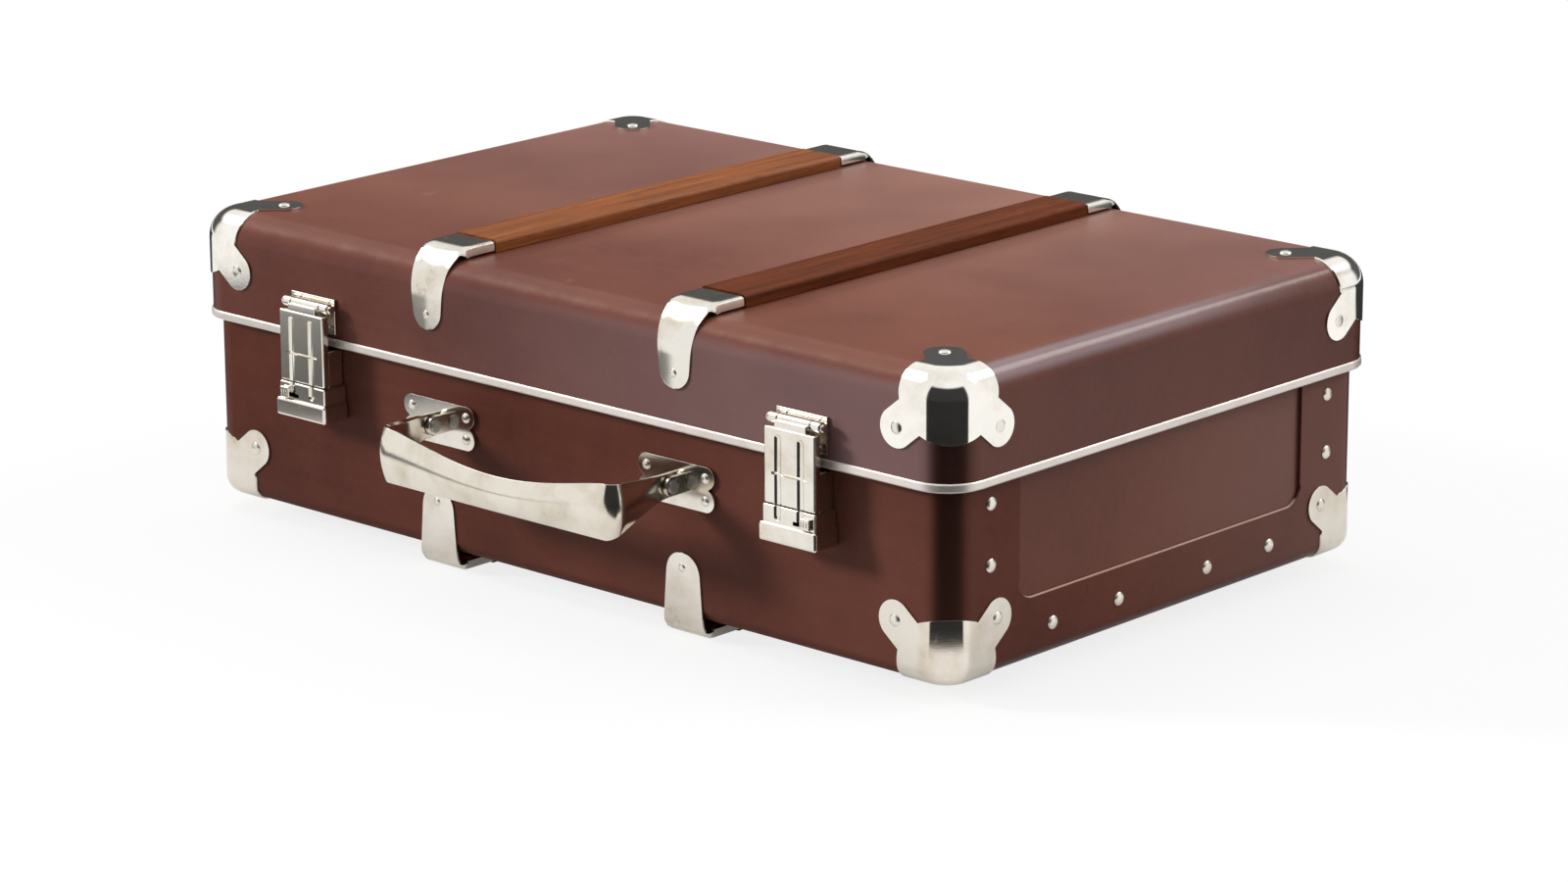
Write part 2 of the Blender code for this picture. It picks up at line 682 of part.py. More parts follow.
def build_hasp(side, sign):
    """Hasp plate with its pin on the lid, and the dished hasp that swings on the pin."""
    centre = sign * LOCK_SPACING / 2
    half = HASP_WIDTH / 2
    middle = HASP_MIDDLE_KNUCKLE / 2
    axis_ring = circle(-HASP_OUT, HASP_HEIGHT, HASP_KNUCKLE_RADIUS, 12)
    bore = prism(
        f"hasp_bore_{side}", circle(-HASP_OUT, HASP_HEIGHT, HASP_PIN_RADIUS + GAP, 12), "X",
        centre - HASP_WIDTH, centre + HASP_WIDTH,
    )

    plate = on_lid(front_box(
        f"hasp_plate_{side}", centre, half, (LID_FRONT + GAP, HASP_PLATE_OUT),
        (BAND_TOP + 2 * MM, HASP_HEIGHT + 2.5 * HASP_KNUCKLE_RADIUS), NICKEL,
    ))
    web = front_box(
        f"hasp_web_{side}", centre, half, (LID_FRONT + GAP + HASP_SHEET / 2, HASP_OUT),
        (HASP_HEIGHT - HASP_KNUCKLE_RADIUS / 2, HASP_HEIGHT + HASP_KNUCKLE_RADIUS / 2),
    )
    barrel = prism(f"hasp_barrel_{side}", axis_ring, "X", centre - half, centre + half)
    space = front_box(
        f"hasp_space_{side}", centre, middle + GAP,
        (HASP_PLATE_OUT, HASP_OUT + 2 * HASP_KNUCKLE_RADIUS),
        (HASP_HEIGHT - 2 * HASP_KNUCKLE_RADIUS, HASP_HEIGHT + 2 * HASP_KNUCKLE_RADIUS),
    )
    boolean(plate, "UNION", web)
    boolean(plate, "UNION", barrel)
    boolean(plate, "DIFFERENCE", space)
    boolean(plate, "DIFFERENCE", bore)
    on_lid(prism(
        f"hasp_pin_{side}", circle(-HASP_OUT, HASP_HEIGHT, HASP_PIN_RADIUS, 10), "X",
        centre - half, centre + half, STEEL,
    ))

    back = HASP_OUT + MM
    face = back + HASP_DISH
    top = HASP_HEIGHT - HASP_KNUCKLE_RADIUS - GAP
    bottom = HASP_HEIGHT - HASP_DROP
    hasp = front_box(f"hasp_{side}", centre, half, (back, face), (bottom, top), NICKEL)
    hollow = front_box(
        f"hasp_hollow_{side}", centre, half - HASP_SHEET, (back - MM, face - HASP_SHEET),
        (bottom + HASP_SHEET, top - HASP_SHEET),
    )
    knuckle = prism(f"hasp_knuckle_{side}", axis_ring, "X", centre - middle, centre + middle)
    neck = front_box(
        f"hasp_neck_{side}", centre, middle, (HASP_OUT + HASP_PIN_RADIUS + 2 * GAP, face - HASP_SHEET / 2),
        (top - HASP_SHEET, HASP_HEIGHT + GAP),
    )
    staple_low = bottom + 3.5 * MM
    staple_out = BASE_FRONT + 2 * HASP_SHEET + MM
    staple = front_box(
        f"staple_{side}", centre, STAPLE_WIDTH / 2, (staple_out, face - HASP_SHEET / 2),
        (staple_low, staple_low + STAPLE_HEIGHT),
    )
    eye = prism(
        f"staple_eye_{side}",
        circle(-(staple_out + STAPLE_EYE_RADIUS + MM / 2), staple_low + STAPLE_HEIGHT / 2,
               STAPLE_EYE_RADIUS, 12),
        "X", centre - 2 * STAPLE_WIDTH, centre + 2 * STAPLE_WIDTH,
    )
    boolean(hasp, "DIFFERENCE", hollow)
    boolean(hasp, "UNION", knuckle)
    boolean(hasp, "UNION", neck)
    boolean(hasp, "UNION", staple)
    boolean(hasp, "DIFFERENCE", eye)
    boolean(hasp, "DIFFERENCE", bore)
    place(hasp, LID_FRAME, Vector((centre, -HASP_OUT, HASP_HEIGHT)))


def build_lock(side, sign):
    """Hollow lock case on the base and its sliding bolt with the thumb piece, drawn back at rest."""
    centre = sign * LOCK_SPACING / 2
    half = LOCK_WIDTH / 2
    seat = BASE_FRONT + GAP
    hasp_bottom = HASP_HEIGHT - HASP_DROP
    block_top = hasp_bottom - SWING_GAP
    block_low = block_top - LOCK_BLOCK_HEIGHT
    case_top = PARTING_HEIGHT - 1.5 * MM
    shelf_out = HASP_OUT + MM - SWING_GAP
    block_out = HASP_OUT + MM + HASP_DISH + LOCK_PROUD
    inside = half - LOCK_SHEET

    case = front_box(f"lock_case_{side}", centre, half, (seat, block_out), (block_low, block_top), NICKEL)
    shelf = front_box(
        f"lock_shelf_{side}", centre, half - MM, (seat, shelf_out), (block_top - MM, case_top)
    )
    block_room = front_box(
        f"lock_block_room_{side}", centre, inside, (seat - MM, block_out - LOCK_SHEET),
        (block_low + LOCK_SHEET, block_top - LOCK_SHEET),
    )
    shelf_room = front_box(
        f"lock_shelf_room_{side}", centre, inside - MM, (seat - MM, shelf_out - LOCK_SHEET),
        (block_low + 2 * LOCK_SHEET, case_top - LOCK_SHEET),
    )
    notch = front_box(
        f"lock_notch_{side}", centre, NOTCH_WIDTH / 2, (seat + MM, block_out),
        (block_top + MM, case_top + MM),
    )
    arm_centre = centre + sign * (BOLT_TRAVEL + THUMB_NECK / 2 + 2.6 * MM)
    neck_height = block_low + LOCK_BLOCK_HEIGHT / 2
    slot_ends = sorted((
        arm_centre + sign * (THUMB_NECK / 2 + GAP),
        arm_centre - sign * (THUMB_NECK / 2 + GAP + BOLT_TRAVEL),
    ))
    slot = prism(
        f"thumb_slot_{side}",
        rectangle(-block_out - MM, -block_out + 2 * LOCK_SHEET,
                  neck_height - THUMB_NECK / 2 - GAP, neck_height + THUMB_NECK / 2 + GAP),
        "X", slot_ends[0], slot_ends[1],
    )
    boolean(case, "UNION", shelf)
    boolean(case, "DIFFERENCE", block_room)
    boolean(case, "DIFFERENCE", shelf_room)
    boolean(case, "DIFFERENCE", notch)
    boolean(case, "DIFFERENCE", slot)

    staple_low = hasp_bottom + 3.5 * MM
    bolt_height = staple_low + STAPLE_HEIGHT / 2
    bolt_out = BASE_FRONT + 2 * HASP_SHEET + STAPLE_EYE_RADIUS + 1.5 * MM
    bolt_ends = sorted((centre + sign * (STAPLE_WIDTH / 2 + MM), arm_centre))
    slide = front_box(
        f"lock_slide_{side}", arm_centre, THUMB_NECK / 2 + GAP,
        (bolt_out - BOLT_RADIUS, bolt_out + BOLT_RADIUS),
        (neck_height - THUMB_NECK / 2, bolt_height + BOLT_RADIUS), NICKEL,
    )
    bolt = prism(
        f"bolt_{side}", circle(-bolt_out, bolt_height, BOLT_RADIUS * 0.98, 10), "X",
        bolt_ends[0], bolt_ends[1],
    )
    neck = front_box(
        f"thumb_neck_{side}", arm_centre, THUMB_NECK / 2, (bolt_out, block_out + SWING_GAP + MM),
        (neck_height - THUMB_NECK / 2, neck_height + THUMB_NECK / 2),
    )
    thumb = front_box(
        f"thumb_{side}", arm_centre, THUMB_WIDTH / 2,
        (block_out + SWING_GAP, block_out + SWING_GAP + THUMB_PROUD),
        (neck_height - THUMB_HEIGHT / 2, neck_height + THUMB_HEIGHT / 2),
    )
    boolean(slide, "UNION", bolt)
    boolean(slide, "UNION", neck)
    boolean(slide, "UNION", thumb)
    place(slide, ROOT, Vector((arm_centre, -bolt_out, neck_height)))


def build_brackets():
    """Handle brackets with their pins on the front, and the backing plates behind the wall."""
    for side, sign in SIDES.items():
        centre = sign * HANDLE_SPACING / 2
        radius = BRACKET_HEIGHT / 2
        ends = ((centre - BRACKET_WIDTH / 2 + radius, HANDLE_HEIGHT),
                (centre + BRACKET_WIDTH / 2 - radius, HANDLE_HEIGHT))
        outline = capsule(ends[0], ends[1], radius, 8)
        seat = BASE_FRONT + GAP
        bracket = prism(f"handle_bracket_{side}", outline, "Y", -seat - BRACKET_SHEET, -seat, NICKEL)
        lug_near = HANDLE_SHEET / 2 + SWING_GAP
        lug_shape = capsule((-seat - BRACKET_SHEET / 2, HANDLE_HEIGHT), (-HANDLE_OUT, HANDLE_HEIGHT),
                            HANDLE_EYE - MM, 8)
        wall = front_box(
            f"bracket_back_{side}", centre, BRACKET_WIDTH, (seat - 4 * HANDLE_EYE, seat),
            (HANDLE_HEIGHT - BRACKET_HEIGHT, HANDLE_HEIGHT + BRACKET_HEIGHT),
        )
        for step in (-1, 1):
            low, high = sorted((centre + step * lug_near, centre + step * (lug_near + LUG_THICKNESS)))
            name = "inner" if step * sign < 0 else "outer"
            boolean(bracket, "UNION", prism(f"bracket_lug_{name}_{side}", lug_shape, "X", low, high))
        bore = prism(
            f"bracket_bore_{side}", circle(-HANDLE_OUT, HANDLE_HEIGHT, HANDLE_PIN_RADIUS + GAP, 12), "X",
            centre - BRACKET_WIDTH / 2, centre + BRACKET_WIDTH / 2,
        )
        boolean(bracket, "DIFFERENCE", wall)
        boolean(bracket, "DIFFERENCE", bore)
        pin_half = lug_near + LUG_THICKNESS + MM
        prism(
            f"handle_pin_{side}", circle(-HANDLE_OUT, HANDLE_HEIGHT, HANDLE_PIN_RADIUS, 12), "X",
            centre - pin_half, centre + pin_half, STEEL,
        )
        inside = BASE_FRONT - BASE_WALL - GAP
        prism(f"handle_backing_{side}", outline, "Y", -inside, -inside + BACKING_SHEET, STEEL)


def handle_stations():
    """Half of the handle's bent sheet from its eye to the middle: x, out, low edge and high edge."""
    cheek = HANDLE_SPACING / 2
    front = BASE_FRONT + HANDLE_REACH
    bend_x = cheek - HANDLE_BEND
    bend_out = front - HANDLE_BEND
    low = HANDLE_HEIGHT - GRIP_DROP
    high = HANDLE_HEIGHT + GRIP_RISE
    stations = []
    for turn in (-75, -45, 0):
        rise = HANDLE_EYE * math.cos(math.radians(turn))
        out = HANDLE_OUT + HANDLE_EYE * math.sin(math.radians(turn))
        stations.append((cheek, out, HANDLE_HEIGHT - rise, HANDLE_HEIGHT + rise))
    middle_out = (HANDLE_OUT + bend_out) / 2
    stations.append((cheek, middle_out, HANDLE_HEIGHT - HANDLE_EYE - 2 * MM, high - MM / 2))
    stations.append((cheek, bend_out, low + 3 * MM, high))
    for turn in (30, 60):
        x = bend_x + HANDLE_BEND * math.cos(math.radians(turn))
        out = bend_out + HANDLE_BEND * math.sin(math.radians(turn))
        stations.append((x, out, low + (90 - turn) / 30 * MM / 2, high))
    for step in range(6):
        share = step / 5
        sag = GRIP_DIP * math.sin(share * math.pi / 2)
        stations.append((bend_x * (1 - share), front, low, high - sag))
    return stations


def build_handle():
    """Bent sheet handle with a cheek and an eye at each end, swinging on the bracket pins."""
    half = handle_stations()
    stations = half + [(-x, out, low, high) for x, out, low, high in half[-2::-1]]
    rings = []
    for index, (x, out, low, high) in enumerate(stations):
        before = stations[max(index - 1, 0)]
        after = stations[min(index + 1, len(stations) - 1)]
        along = Vector((after[0] - before[0], after[1] - before[1])).normalized()
        across = Vector((along.y, -along.x)) * HANDLE_SHEET / 2
        rings.append([
            Vector((x + across.x, -out - across.y, low)),
            Vector((x + across.x, -out - across.y, high)),
            Vector((x - across.x, -out + across.y, high)),
            Vector((x - across.x, -out + across.y, low)),
        ])
    handle = loft("handle_grip", rings, NICKEL)
    for side, sign in SIDES.items():
        centre = sign * HANDLE_SPACING / 2
        eye = prism(
            f"handle_eye_{side}", circle(-HANDLE_OUT, HANDLE_HEIGHT, HANDLE_PIN_RADIUS + GAP, 12), "X",
            centre - 4 * HANDLE_SHEET, centre + 4 * HANDLE_SHEET,
        )
        boolean(handle, "DIFFERENCE", eye)
    place(handle, ROOT, Vector((0, -HANDLE_OUT, HANDLE_HEIGHT)))


def centre_footprint():
    """Moves the whole case so that its box stands centred over the origin."""
    bpy.context.view_layer.update()
    graph = bpy.context.evaluated_depsgraph_get()
    reach = []
    for thing in PARTS.objects:
        if thing.type == "MESH":
            solid = thing.evaluated_get(graph)
            reach += [(solid.matrix_world @ Vector(corner)).y for corner in solid.bound_box]
    ROOT.location.y = -(min(reach) + max(reach)) / 2


build_lid_shell()
build_base_shell()
build_slats()
build_corners()
build_hinges()
for lock_side, lock_sign in SIDES.items():
    build_hasp(lock_side, lock_sign)
    build_lock(lock_side, lock_sign)
build_brackets()
build_handle()
centre_footprint()
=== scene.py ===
"""Looks of a brown fibre suitcase with wooden slats and nickel fittings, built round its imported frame."""

import logging
import math
from dataclasses import dataclass, field
from enum import Enum
from itertools import product
from typing import Callable, Iterable, Sequence

import bmesh
import bpy
from mathutils import Matrix, Vector


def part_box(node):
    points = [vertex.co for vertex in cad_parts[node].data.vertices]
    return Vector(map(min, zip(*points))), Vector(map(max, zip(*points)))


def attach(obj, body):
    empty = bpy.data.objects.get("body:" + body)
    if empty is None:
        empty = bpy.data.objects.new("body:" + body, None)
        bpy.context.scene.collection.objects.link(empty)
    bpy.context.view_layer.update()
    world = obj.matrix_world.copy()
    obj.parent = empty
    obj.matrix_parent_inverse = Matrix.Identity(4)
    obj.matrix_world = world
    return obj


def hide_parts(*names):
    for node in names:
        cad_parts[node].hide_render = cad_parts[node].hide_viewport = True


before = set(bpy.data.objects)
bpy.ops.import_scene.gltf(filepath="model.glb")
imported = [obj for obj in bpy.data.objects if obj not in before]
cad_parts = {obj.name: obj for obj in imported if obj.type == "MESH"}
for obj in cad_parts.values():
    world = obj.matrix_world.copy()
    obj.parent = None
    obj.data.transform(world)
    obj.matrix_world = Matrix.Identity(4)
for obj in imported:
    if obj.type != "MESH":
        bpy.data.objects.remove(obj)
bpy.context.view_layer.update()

MM = 0.001
ON_FACE = 0.01 * MM
MERGED = 0.02 * MM
BENT_MERGED = 0.05 * MM
LOG = logging.getLogger("suitcase")

Colour = tuple[float, float, float]
Point = tuple[float, float]
Shape = bmesh.types.BMesh
Piece = bpy.types.Object
FORWARD = Vector((0, -1, 0))
BOTH = (-1, 1)


class Way(Enum):
    """One of two opposite ways along an axis of the case; its value is its sign."""

    @property
    def word(self) -> str:
        """The way as it stands in names."""
        return self.name.lower()


class Side(Way):
    """Left or right, along X."""

    LEFT = -1
    RIGHT = 1


class End(Way):
    """Front or back, along Y."""

    FRONT = -1
    BACK = 1


class Half(Way):
    """Lid or base, with the way along Z that its crown faces; its word is also its body's name."""

    LID = 1
    BASE = -1


class Cut(Enum):
    """Ways in which one solid shapes another."""

    JOIN = "UNION"
    KEEP = "INTERSECT"
    TAKE = "DIFFERENCE"


@dataclass(frozen=True)
class Span:
    """Box of a CAD node at rest."""

    low: Vector
    high: Vector

    @classmethod
    def of(cls, node: str) -> "Span":
        """Reads a node's box from the frame."""
        low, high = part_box(node)
        return cls(low, high)

    @property
    def centre(self) -> Vector:
        """Middle of the box."""
        return (self.low + self.high) / 2

    @property
    def half(self) -> float:
        """Half of its width along the case."""
        return (self.high.x - self.low.x) / 2

    def corner(self, x: int, y: int, z: int) -> Vector:
        """The corner on the sides that three signs name."""
        return Vector([high if sign > 0 else low for low, high, sign in zip(self.low, self.high, (x, y, z))])

    def grown(self, amount: float) -> "Span":
        """The box with every face moved out by an amount."""
        step = Vector((amount, amount, amount))
        return Span(self.low - step, self.high + step)


LID = Span.of("lid_shell")
BASE = Span.of("base_tray")
MIDDLE = LID.centre.y


def operator(operation: str, turned: bool = False) -> Callable[..., "Wire"]:
    """Method of a wire that adds a Math node.

    Args:
        operation: the node's operation.
        turned: whether the other value comes first, as where a number stands in front.

    Returns:
        The method.
    """
    def method(wire: "Wire", other: "Wire | float" = 0.0) -> "Wire":
        """Works out the operation on the wire and the other value."""
        return wire.board.math(operation, *((other, wire) if turned else (wire, other)))
    return method


class Wire:
    """A value in a finish's node tree, with Python's operators."""

    def __init__(self, board: "Board", socket: bpy.types.NodeSocket) -> None:
        """Wraps one output socket of a board."""
        self.board = board
        self.socket = socket

    __add__ = operator("ADD")
    __radd__ = operator("ADD", True)
    __sub__ = operator("SUBTRACT")
    __rsub__ = operator("SUBTRACT", True)
    __mul__ = operator("MULTIPLY")
    __rmul__ = operator("MULTIPLY", True)
    __abs__ = operator("ABSOLUTE")
    most = operator("MAXIMUM")
    least = operator("MINIMUM")

    def step(self, low: float, high: float) -> "Wire":
        """Soft step of the value from 0 to 1.

        Args:
            low: where it is 0.
            high: where it is 1; with low above high it falls.

        Returns:
            The step.
        """
        if low > high:
            return 1.0 - self.step(high, low)
        sockets = {"Value": self, "From Min": low, "From Max": high}
        return self.board.node("ShaderNodeMapRange", {"interpolation_type": "SMOOTHSTEP"}, sockets)


class Board:
    """Node tree of one finish, or of the room's light."""

    def __init__(self, owner: bpy.types.Material | bpy.types.World) -> None:
        """Empties the owner's node tree.

        Args:
            owner: the material or world that holds the tree.
        """
        owner.use_nodes = True
        self.owner = owner
        self.tree = owner.node_tree
        self.tree.nodes.clear()

    @classmethod
    def finish(cls, name: str) -> "Board":
        """Board of a new material."""
        return cls(bpy.data.materials.new(name))

    def node(self, kind: str, settings: dict | None = None, sockets: dict | None = None,
             out: int | str = 0) -> Wire:
        """Adds a node.

        Args:
            kind: the node's type.
            settings: its own settings, set first; "stops" fills a colour ramp.
            sockets: numbers, colours or wires for its inputs, by name or number.
            out: the output to give back.

        Returns:
            The output as a wire.
        """
        made = self.tree.nodes.new(kind)
        for key, value in (settings or {}).items():
            if key == "stops":
                self._fill(made.color_ramp, value)
            else:
                setattr(made, key, value)
        for key, value in (sockets or {}).items():
            self.feed(made.inputs[key], value)
        return Wire(self, made.outputs[out])

    @staticmethod
    def _fill(ramp: bpy.types.ColorRamp, stops: Sequence[tuple[float, Colour]]) -> None:
        """Gives a colour ramp its stops.

        Args:
            ramp: the ramp.
            stops: each stop's place and colour.
        """
        while len(ramp.elements) < len(stops):
            ramp.elements.new(0.5)
        for element, (place, colour) in zip(ramp.elements, stops):
            element.position = place
            element.color = (*colour, 1.0)

    def feed(self, socket: bpy.types.NodeSocket, value: object) -> None:
        """Links a wire to a socket, or sets the socket.

        Args:
            socket: the input.
            value: the wire, number or colour.
        """
        if isinstance(value, Wire):
            self.tree.links.new(value.socket, socket)
        elif socket.type == "RGBA" and len(value) == 3:
            socket.default_value = (*value, 1.0)
        else:
            socket.default_value = value

    def math(self, operation: str, first: Wire | float, second: Wire | float) -> Wire:
        """Adds a Math node."""
        return self.node("ShaderNodeMath", {"operation": operation}, {0: first, 1: second})

    def mix(self, first: Wire | Colour, second: Wire | Colour, amount: Wire | float) -> Wire:
        """Mixes two colours by an amount."""
        settings = {"data_type": "RGBA", "blend_type": "MIX"}
        return self.node("ShaderNodeMix", settings, {0: amount, 6: first, 7: second}, 2)

    def place(self, scale: Sequence[float] = (1, 1, 1), turn: Sequence[float] = (0, 0, 0)) -> Wire:
        """Object coordinates in metres, scaled and turned about the frame's origin."""
        where = self.node("ShaderNodeTexCoord", out="Object")
        return self.node("ShaderNodeMapping", {}, {"Vector": where, "Scale": scale, "Rotation": turn})

    def axes(self, out: str) -> tuple[Wire, Wire, Wire]:
        """The three parts of an output of Texture Coordinate."""
        vector = self.node("ShaderNodeTexCoord", out=out)
        return tuple(self.node("ShaderNodeSeparateXYZ", {}, {0: vector}, part) for part in range(3))

    def facing(self) -> tuple[Wire, Wire, Wire, Wire]:
        """How far a face looks along X, Y and Z, and how far it turns away from all three."""
        across, along, rise = (abs(part) for part in self.axes("Normal"))
        return across, along, rise, 1.0 - across.most(along).most(rise)

    def noise(self, where: Wire, scale: float, detail: float = 3.0, rough: float = 0.55,
              twist: float = 0.0) -> Wire:
        """Cloudy value from 0 to 1."""
        sockets = {"Vector": where, "Scale": scale, "Detail": detail, "Roughness": rough, "Distortion": twist}
        return self.node("ShaderNodeTexNoise", {}, sockets)

    def drawn(self, stretch: Sequence[float], turn: Sequence[float] = (0, 0, 0), detail: float = 3.0,
              rough: float = 0.6) -> Wire:
        """Cloudy value drawn out into streaks, finest along the axis with the largest stretch."""
        return self.noise(self.place(stretch, turn), 1.0, detail, rough)

    def ramp(self, value: Wire, stops: Sequence[tuple[float, Colour]]) -> Wire:
        """Colour ramp."""
        return self.node("ShaderNodeValToRGB", {"stops": stops}, {0: value})

    def bump(self, height: Wire, depth: float, strength: float, under: Wire | None = None) -> Wire:
        """Normal bent by a height.

        Args:
            height: the height from 0 to 1.
            depth: the height's full size in metres.
            strength: how strongly it shows.
            under: another bent normal that it lies on.

        Returns:
            The normal.
        """
        sockets = {"Height": height, "Distance": depth, "Strength": strength}
        if under:
            sockets["Normal"] = under
        return self.node("ShaderNodeBump", {}, sockets)

    def surface(self, sockets: dict) -> bpy.types.Material:
        """Ends the tree with a Principled surface."""
        return self.ended(self.node("ShaderNodeBsdfPrincipled", {}, sockets))

    def metal(self, colour: Wire, roughness: Wire, normal: Wire, share: float = 1.0) -> bpy.types.Material:
        """Ends the tree with a metal surface."""
        sockets = {"Base Color": colour, "Metallic": share, "Roughness": roughness, "Normal": normal}
        return self.surface(sockets)

    def matte(self, colour: Wire, roughness: float) -> Wire:
        """Shader of a surface without any gloss."""
        sockets = {"Base Color": colour, "Roughness": roughness, "Specular IOR Level": 0.0}
        return self.node("ShaderNodeBsdfPrincipled", {}, sockets)

    def blended(self, share: Wire, first: Wire, second: Wire) -> bpy.types.Material:
        """Ends the tree with a share of the second of two shaders."""
        return self.ended(self.node("ShaderNodeMixShader", {}, {0: share, 1: first, 2: second}))

    def ended(self, shader: Wire) -> bpy.types.Material | bpy.types.World:
        """Links a shader to the tree's output.

        Args:
            shader: the shader.

        Returns:
            The tree's owner.
        """
        kind = "World" if isinstance(self.owner, bpy.types.World) else "Material"
        output = self.tree.nodes.new(f"ShaderNodeOutput{kind}")
        self.tree.links.new(shader.socket, output.inputs["Surface"])
        return self.owner


class Finish:
    """What every finish shares: its name, its slot in the record and one material."""

    name: str
    slot: str

    def material(self) -> bpy.types.Material:
        """The finish's material, made on first use."""
        known = bpy.data.materials.get(f"finish_{self.name}")
        return known or self.mixed(Board.finish(f"finish_{self.name}"))

    def mixed(self, board: Board) -> bpy.types.Material:
        """Builds the material on an empty board."""
        raise NotImplementedError


@dataclass(frozen=True)
class FibreFinish(Finish):
    """Pressed vulcanised fibre: mottled brown sheet, semi-gloss, rubbed at its edges, with painted sheen on
    some faces and edges and painted shade on its upright corners.
    """

    name: str = "brown_fibre"
    slot: str = "brown_fibre"
    deep: Colour = (0.095, 0.024, 0.016)
    body: Colour = (0.150, 0.043, 0.028)
    warm: Colour = (0.195, 0.064, 0.040)
    # The next colour lightens the tops: partly real fading, partly painted sheen.
    faded: Colour = (0.330, 0.135, 0.078)
    rubbed: Colour = (0.270, 0.130, 0.090)
    # The near-black colour on the next line is painted shade for the upright corners.
    burnt: Colour = (0.030, 0.010, 0.006)
    raw: Colour = (0.78, 0.56, 0.47)
    # The pale colour on the next line and the four shares of it below are painted sheen, mixed into the
    # colour of fronts, tops, short ends and side edges.
    bloom: Colour = (0.34, 0.235, 0.245)
    roughness: float = 0.26
    gloss: float = 0.30
    # The next share sets how strongly the corners' painted shade shows.
    burnish: float = 0.8
    polish: float = 0.28
    bloom_front: float = 0.42
    bloom_top: float = 0.24
    bloom_end: float = 0.0
    bloom_edge: float = 0.0
    raw_edge: bool = False
    wave_depth: float = 1.6 * MM
    grain_depth: float = 0.12 * MM

    def mixed(self, board: Board) -> bpy.types.Material:
        """Builds the fibre.

        Args:
            board: the empty node tree.

        Returns:
            The material.
        """
        here = board.place()
        across, along, rise, bend = board.facing()
        x, y, _ = board.axes("Object")
        cloud = board.noise(here, 7.0, 4.0, 0.6)
        fleck = board.noise(here, 310.0, 3.0, 0.7)
        streak = board.drawn((9, 210, 210))
        scratch = board.drawn((45, 45, 900), (0.4, 0.9, 0.3), 2.0, 0.5).step(0.68, 0.76)
        scuff = scratch * board.noise(here, 11.0, 2.0).step(0.52, 0.7)

        tone = cloud * 0.75 + fleck * 0.2 + streak * 0.15
        colour = board.ramp(tone, ((0.36, self.deep), (0.55, self.body), (0.74, self.warm)))
        # Tops are lightened with the orange colour: partly fading, partly painted sheen that grows strongly
        # toward the back.
        bleached_and_sheen = rise.step(0.45, 0.97) * (0.22 + board.noise(here, 5.0, 3.0).step(0.34, 0.66) * 0.4)
        colour = board.mix(colour, self.faded, bleached_and_sheen * (0.35 + y.step(-0.16, 0.20) * 1.10))
        # Painted sheen: a pale colour mixed in on fronts, growing to the right; on tops and short ends,
        # growing toward the back; and along the side edges, toward the front.
        front = along.step(0.80, 0.98) * x.step(-0.17, 0.20) * self.bloom_front
        top = rise.step(0.80, 0.98) * y.step(-0.13, 0.20) * self.bloom_top
        end = across.step(0.80, 0.98) * y.step(-0.05, 0.20) * self.bloom_end
        edge = across.step(0.25, 0.50) * rise.step(0.30, 0.60) * y.step(0.16, -0.02) * self.bloom_edge
        painted_sheen_share = front.most(top).most(end).most(edge) * (0.55 + cloud * 0.9)
        colour = board.mix(colour, self.bloom, painted_sheen_share)
        # A touch of the warm colour on the front's top rounding is painted shade, set against its sheen.
        brow = along.step(0.15, 0.50) * rise.step(0.15, 0.50)
        colour = board.mix(colour, self.warm, brow * 0.1)
        worn = (bend * 2.4 * board.noise(here, 60.0, 5.0, 0.7)).step(0.16, 0.48)
        colour = board.mix(colour, self.rubbed, (worn * 0.5).most(scuff * 0.45))
        # Painted shade: the upright corners are darkened nearly to black.
        corner = across.least(along).step(0.16, 0.50)
        colour = board.mix(colour, self.burnt, corner * self.burnish)
        if self.raw_edge:
            colour = board.mix(colour, self.raw, self._cut_edges(board, across))

        polished = bend.step(0.01, 0.12) * across.step(0.04, 0.30) * (1.0 - corner) * self.polish
        rough = self.roughness + fleck * 0.16 + cloud * 0.10 + scuff * 0.2 - polished + brow * 0.10
        pressed = board.bump(board.noise(here, 16.0, 2.0, 0.5), self.wave_depth, 0.35)
        grain = board.bump(fleck * 0.7 + streak * 0.5 + scuff * 0.6, self.grain_depth, 0.55, pressed)
        return board.surface({
            "Base Color": colour, "Roughness": rough, "Normal": grain, "Specular IOR Level": self.gloss,
        })

    @staticmethod
    def _cut_edges(board: Board, across: Wire) -> Wire:
        """Mask of the cut edges of the flaps on the short ends, where the pale core shows.

        Args:
            board: the node tree.
            across: how far a face looks along X.

        Returns:
            The mask.
        """
        x, y, z = board.axes("Object")
        low_edge = (1.0 - across).step(0.14, 0.28) * abs(x).step(0.2430, 0.2434)
        inside = abs(y - MIDDLE).step(0.1062, 0.1056) * z.step(0.0395, 0.0400) * z.step(0.0440, 0.0425)
        return low_edge * inside


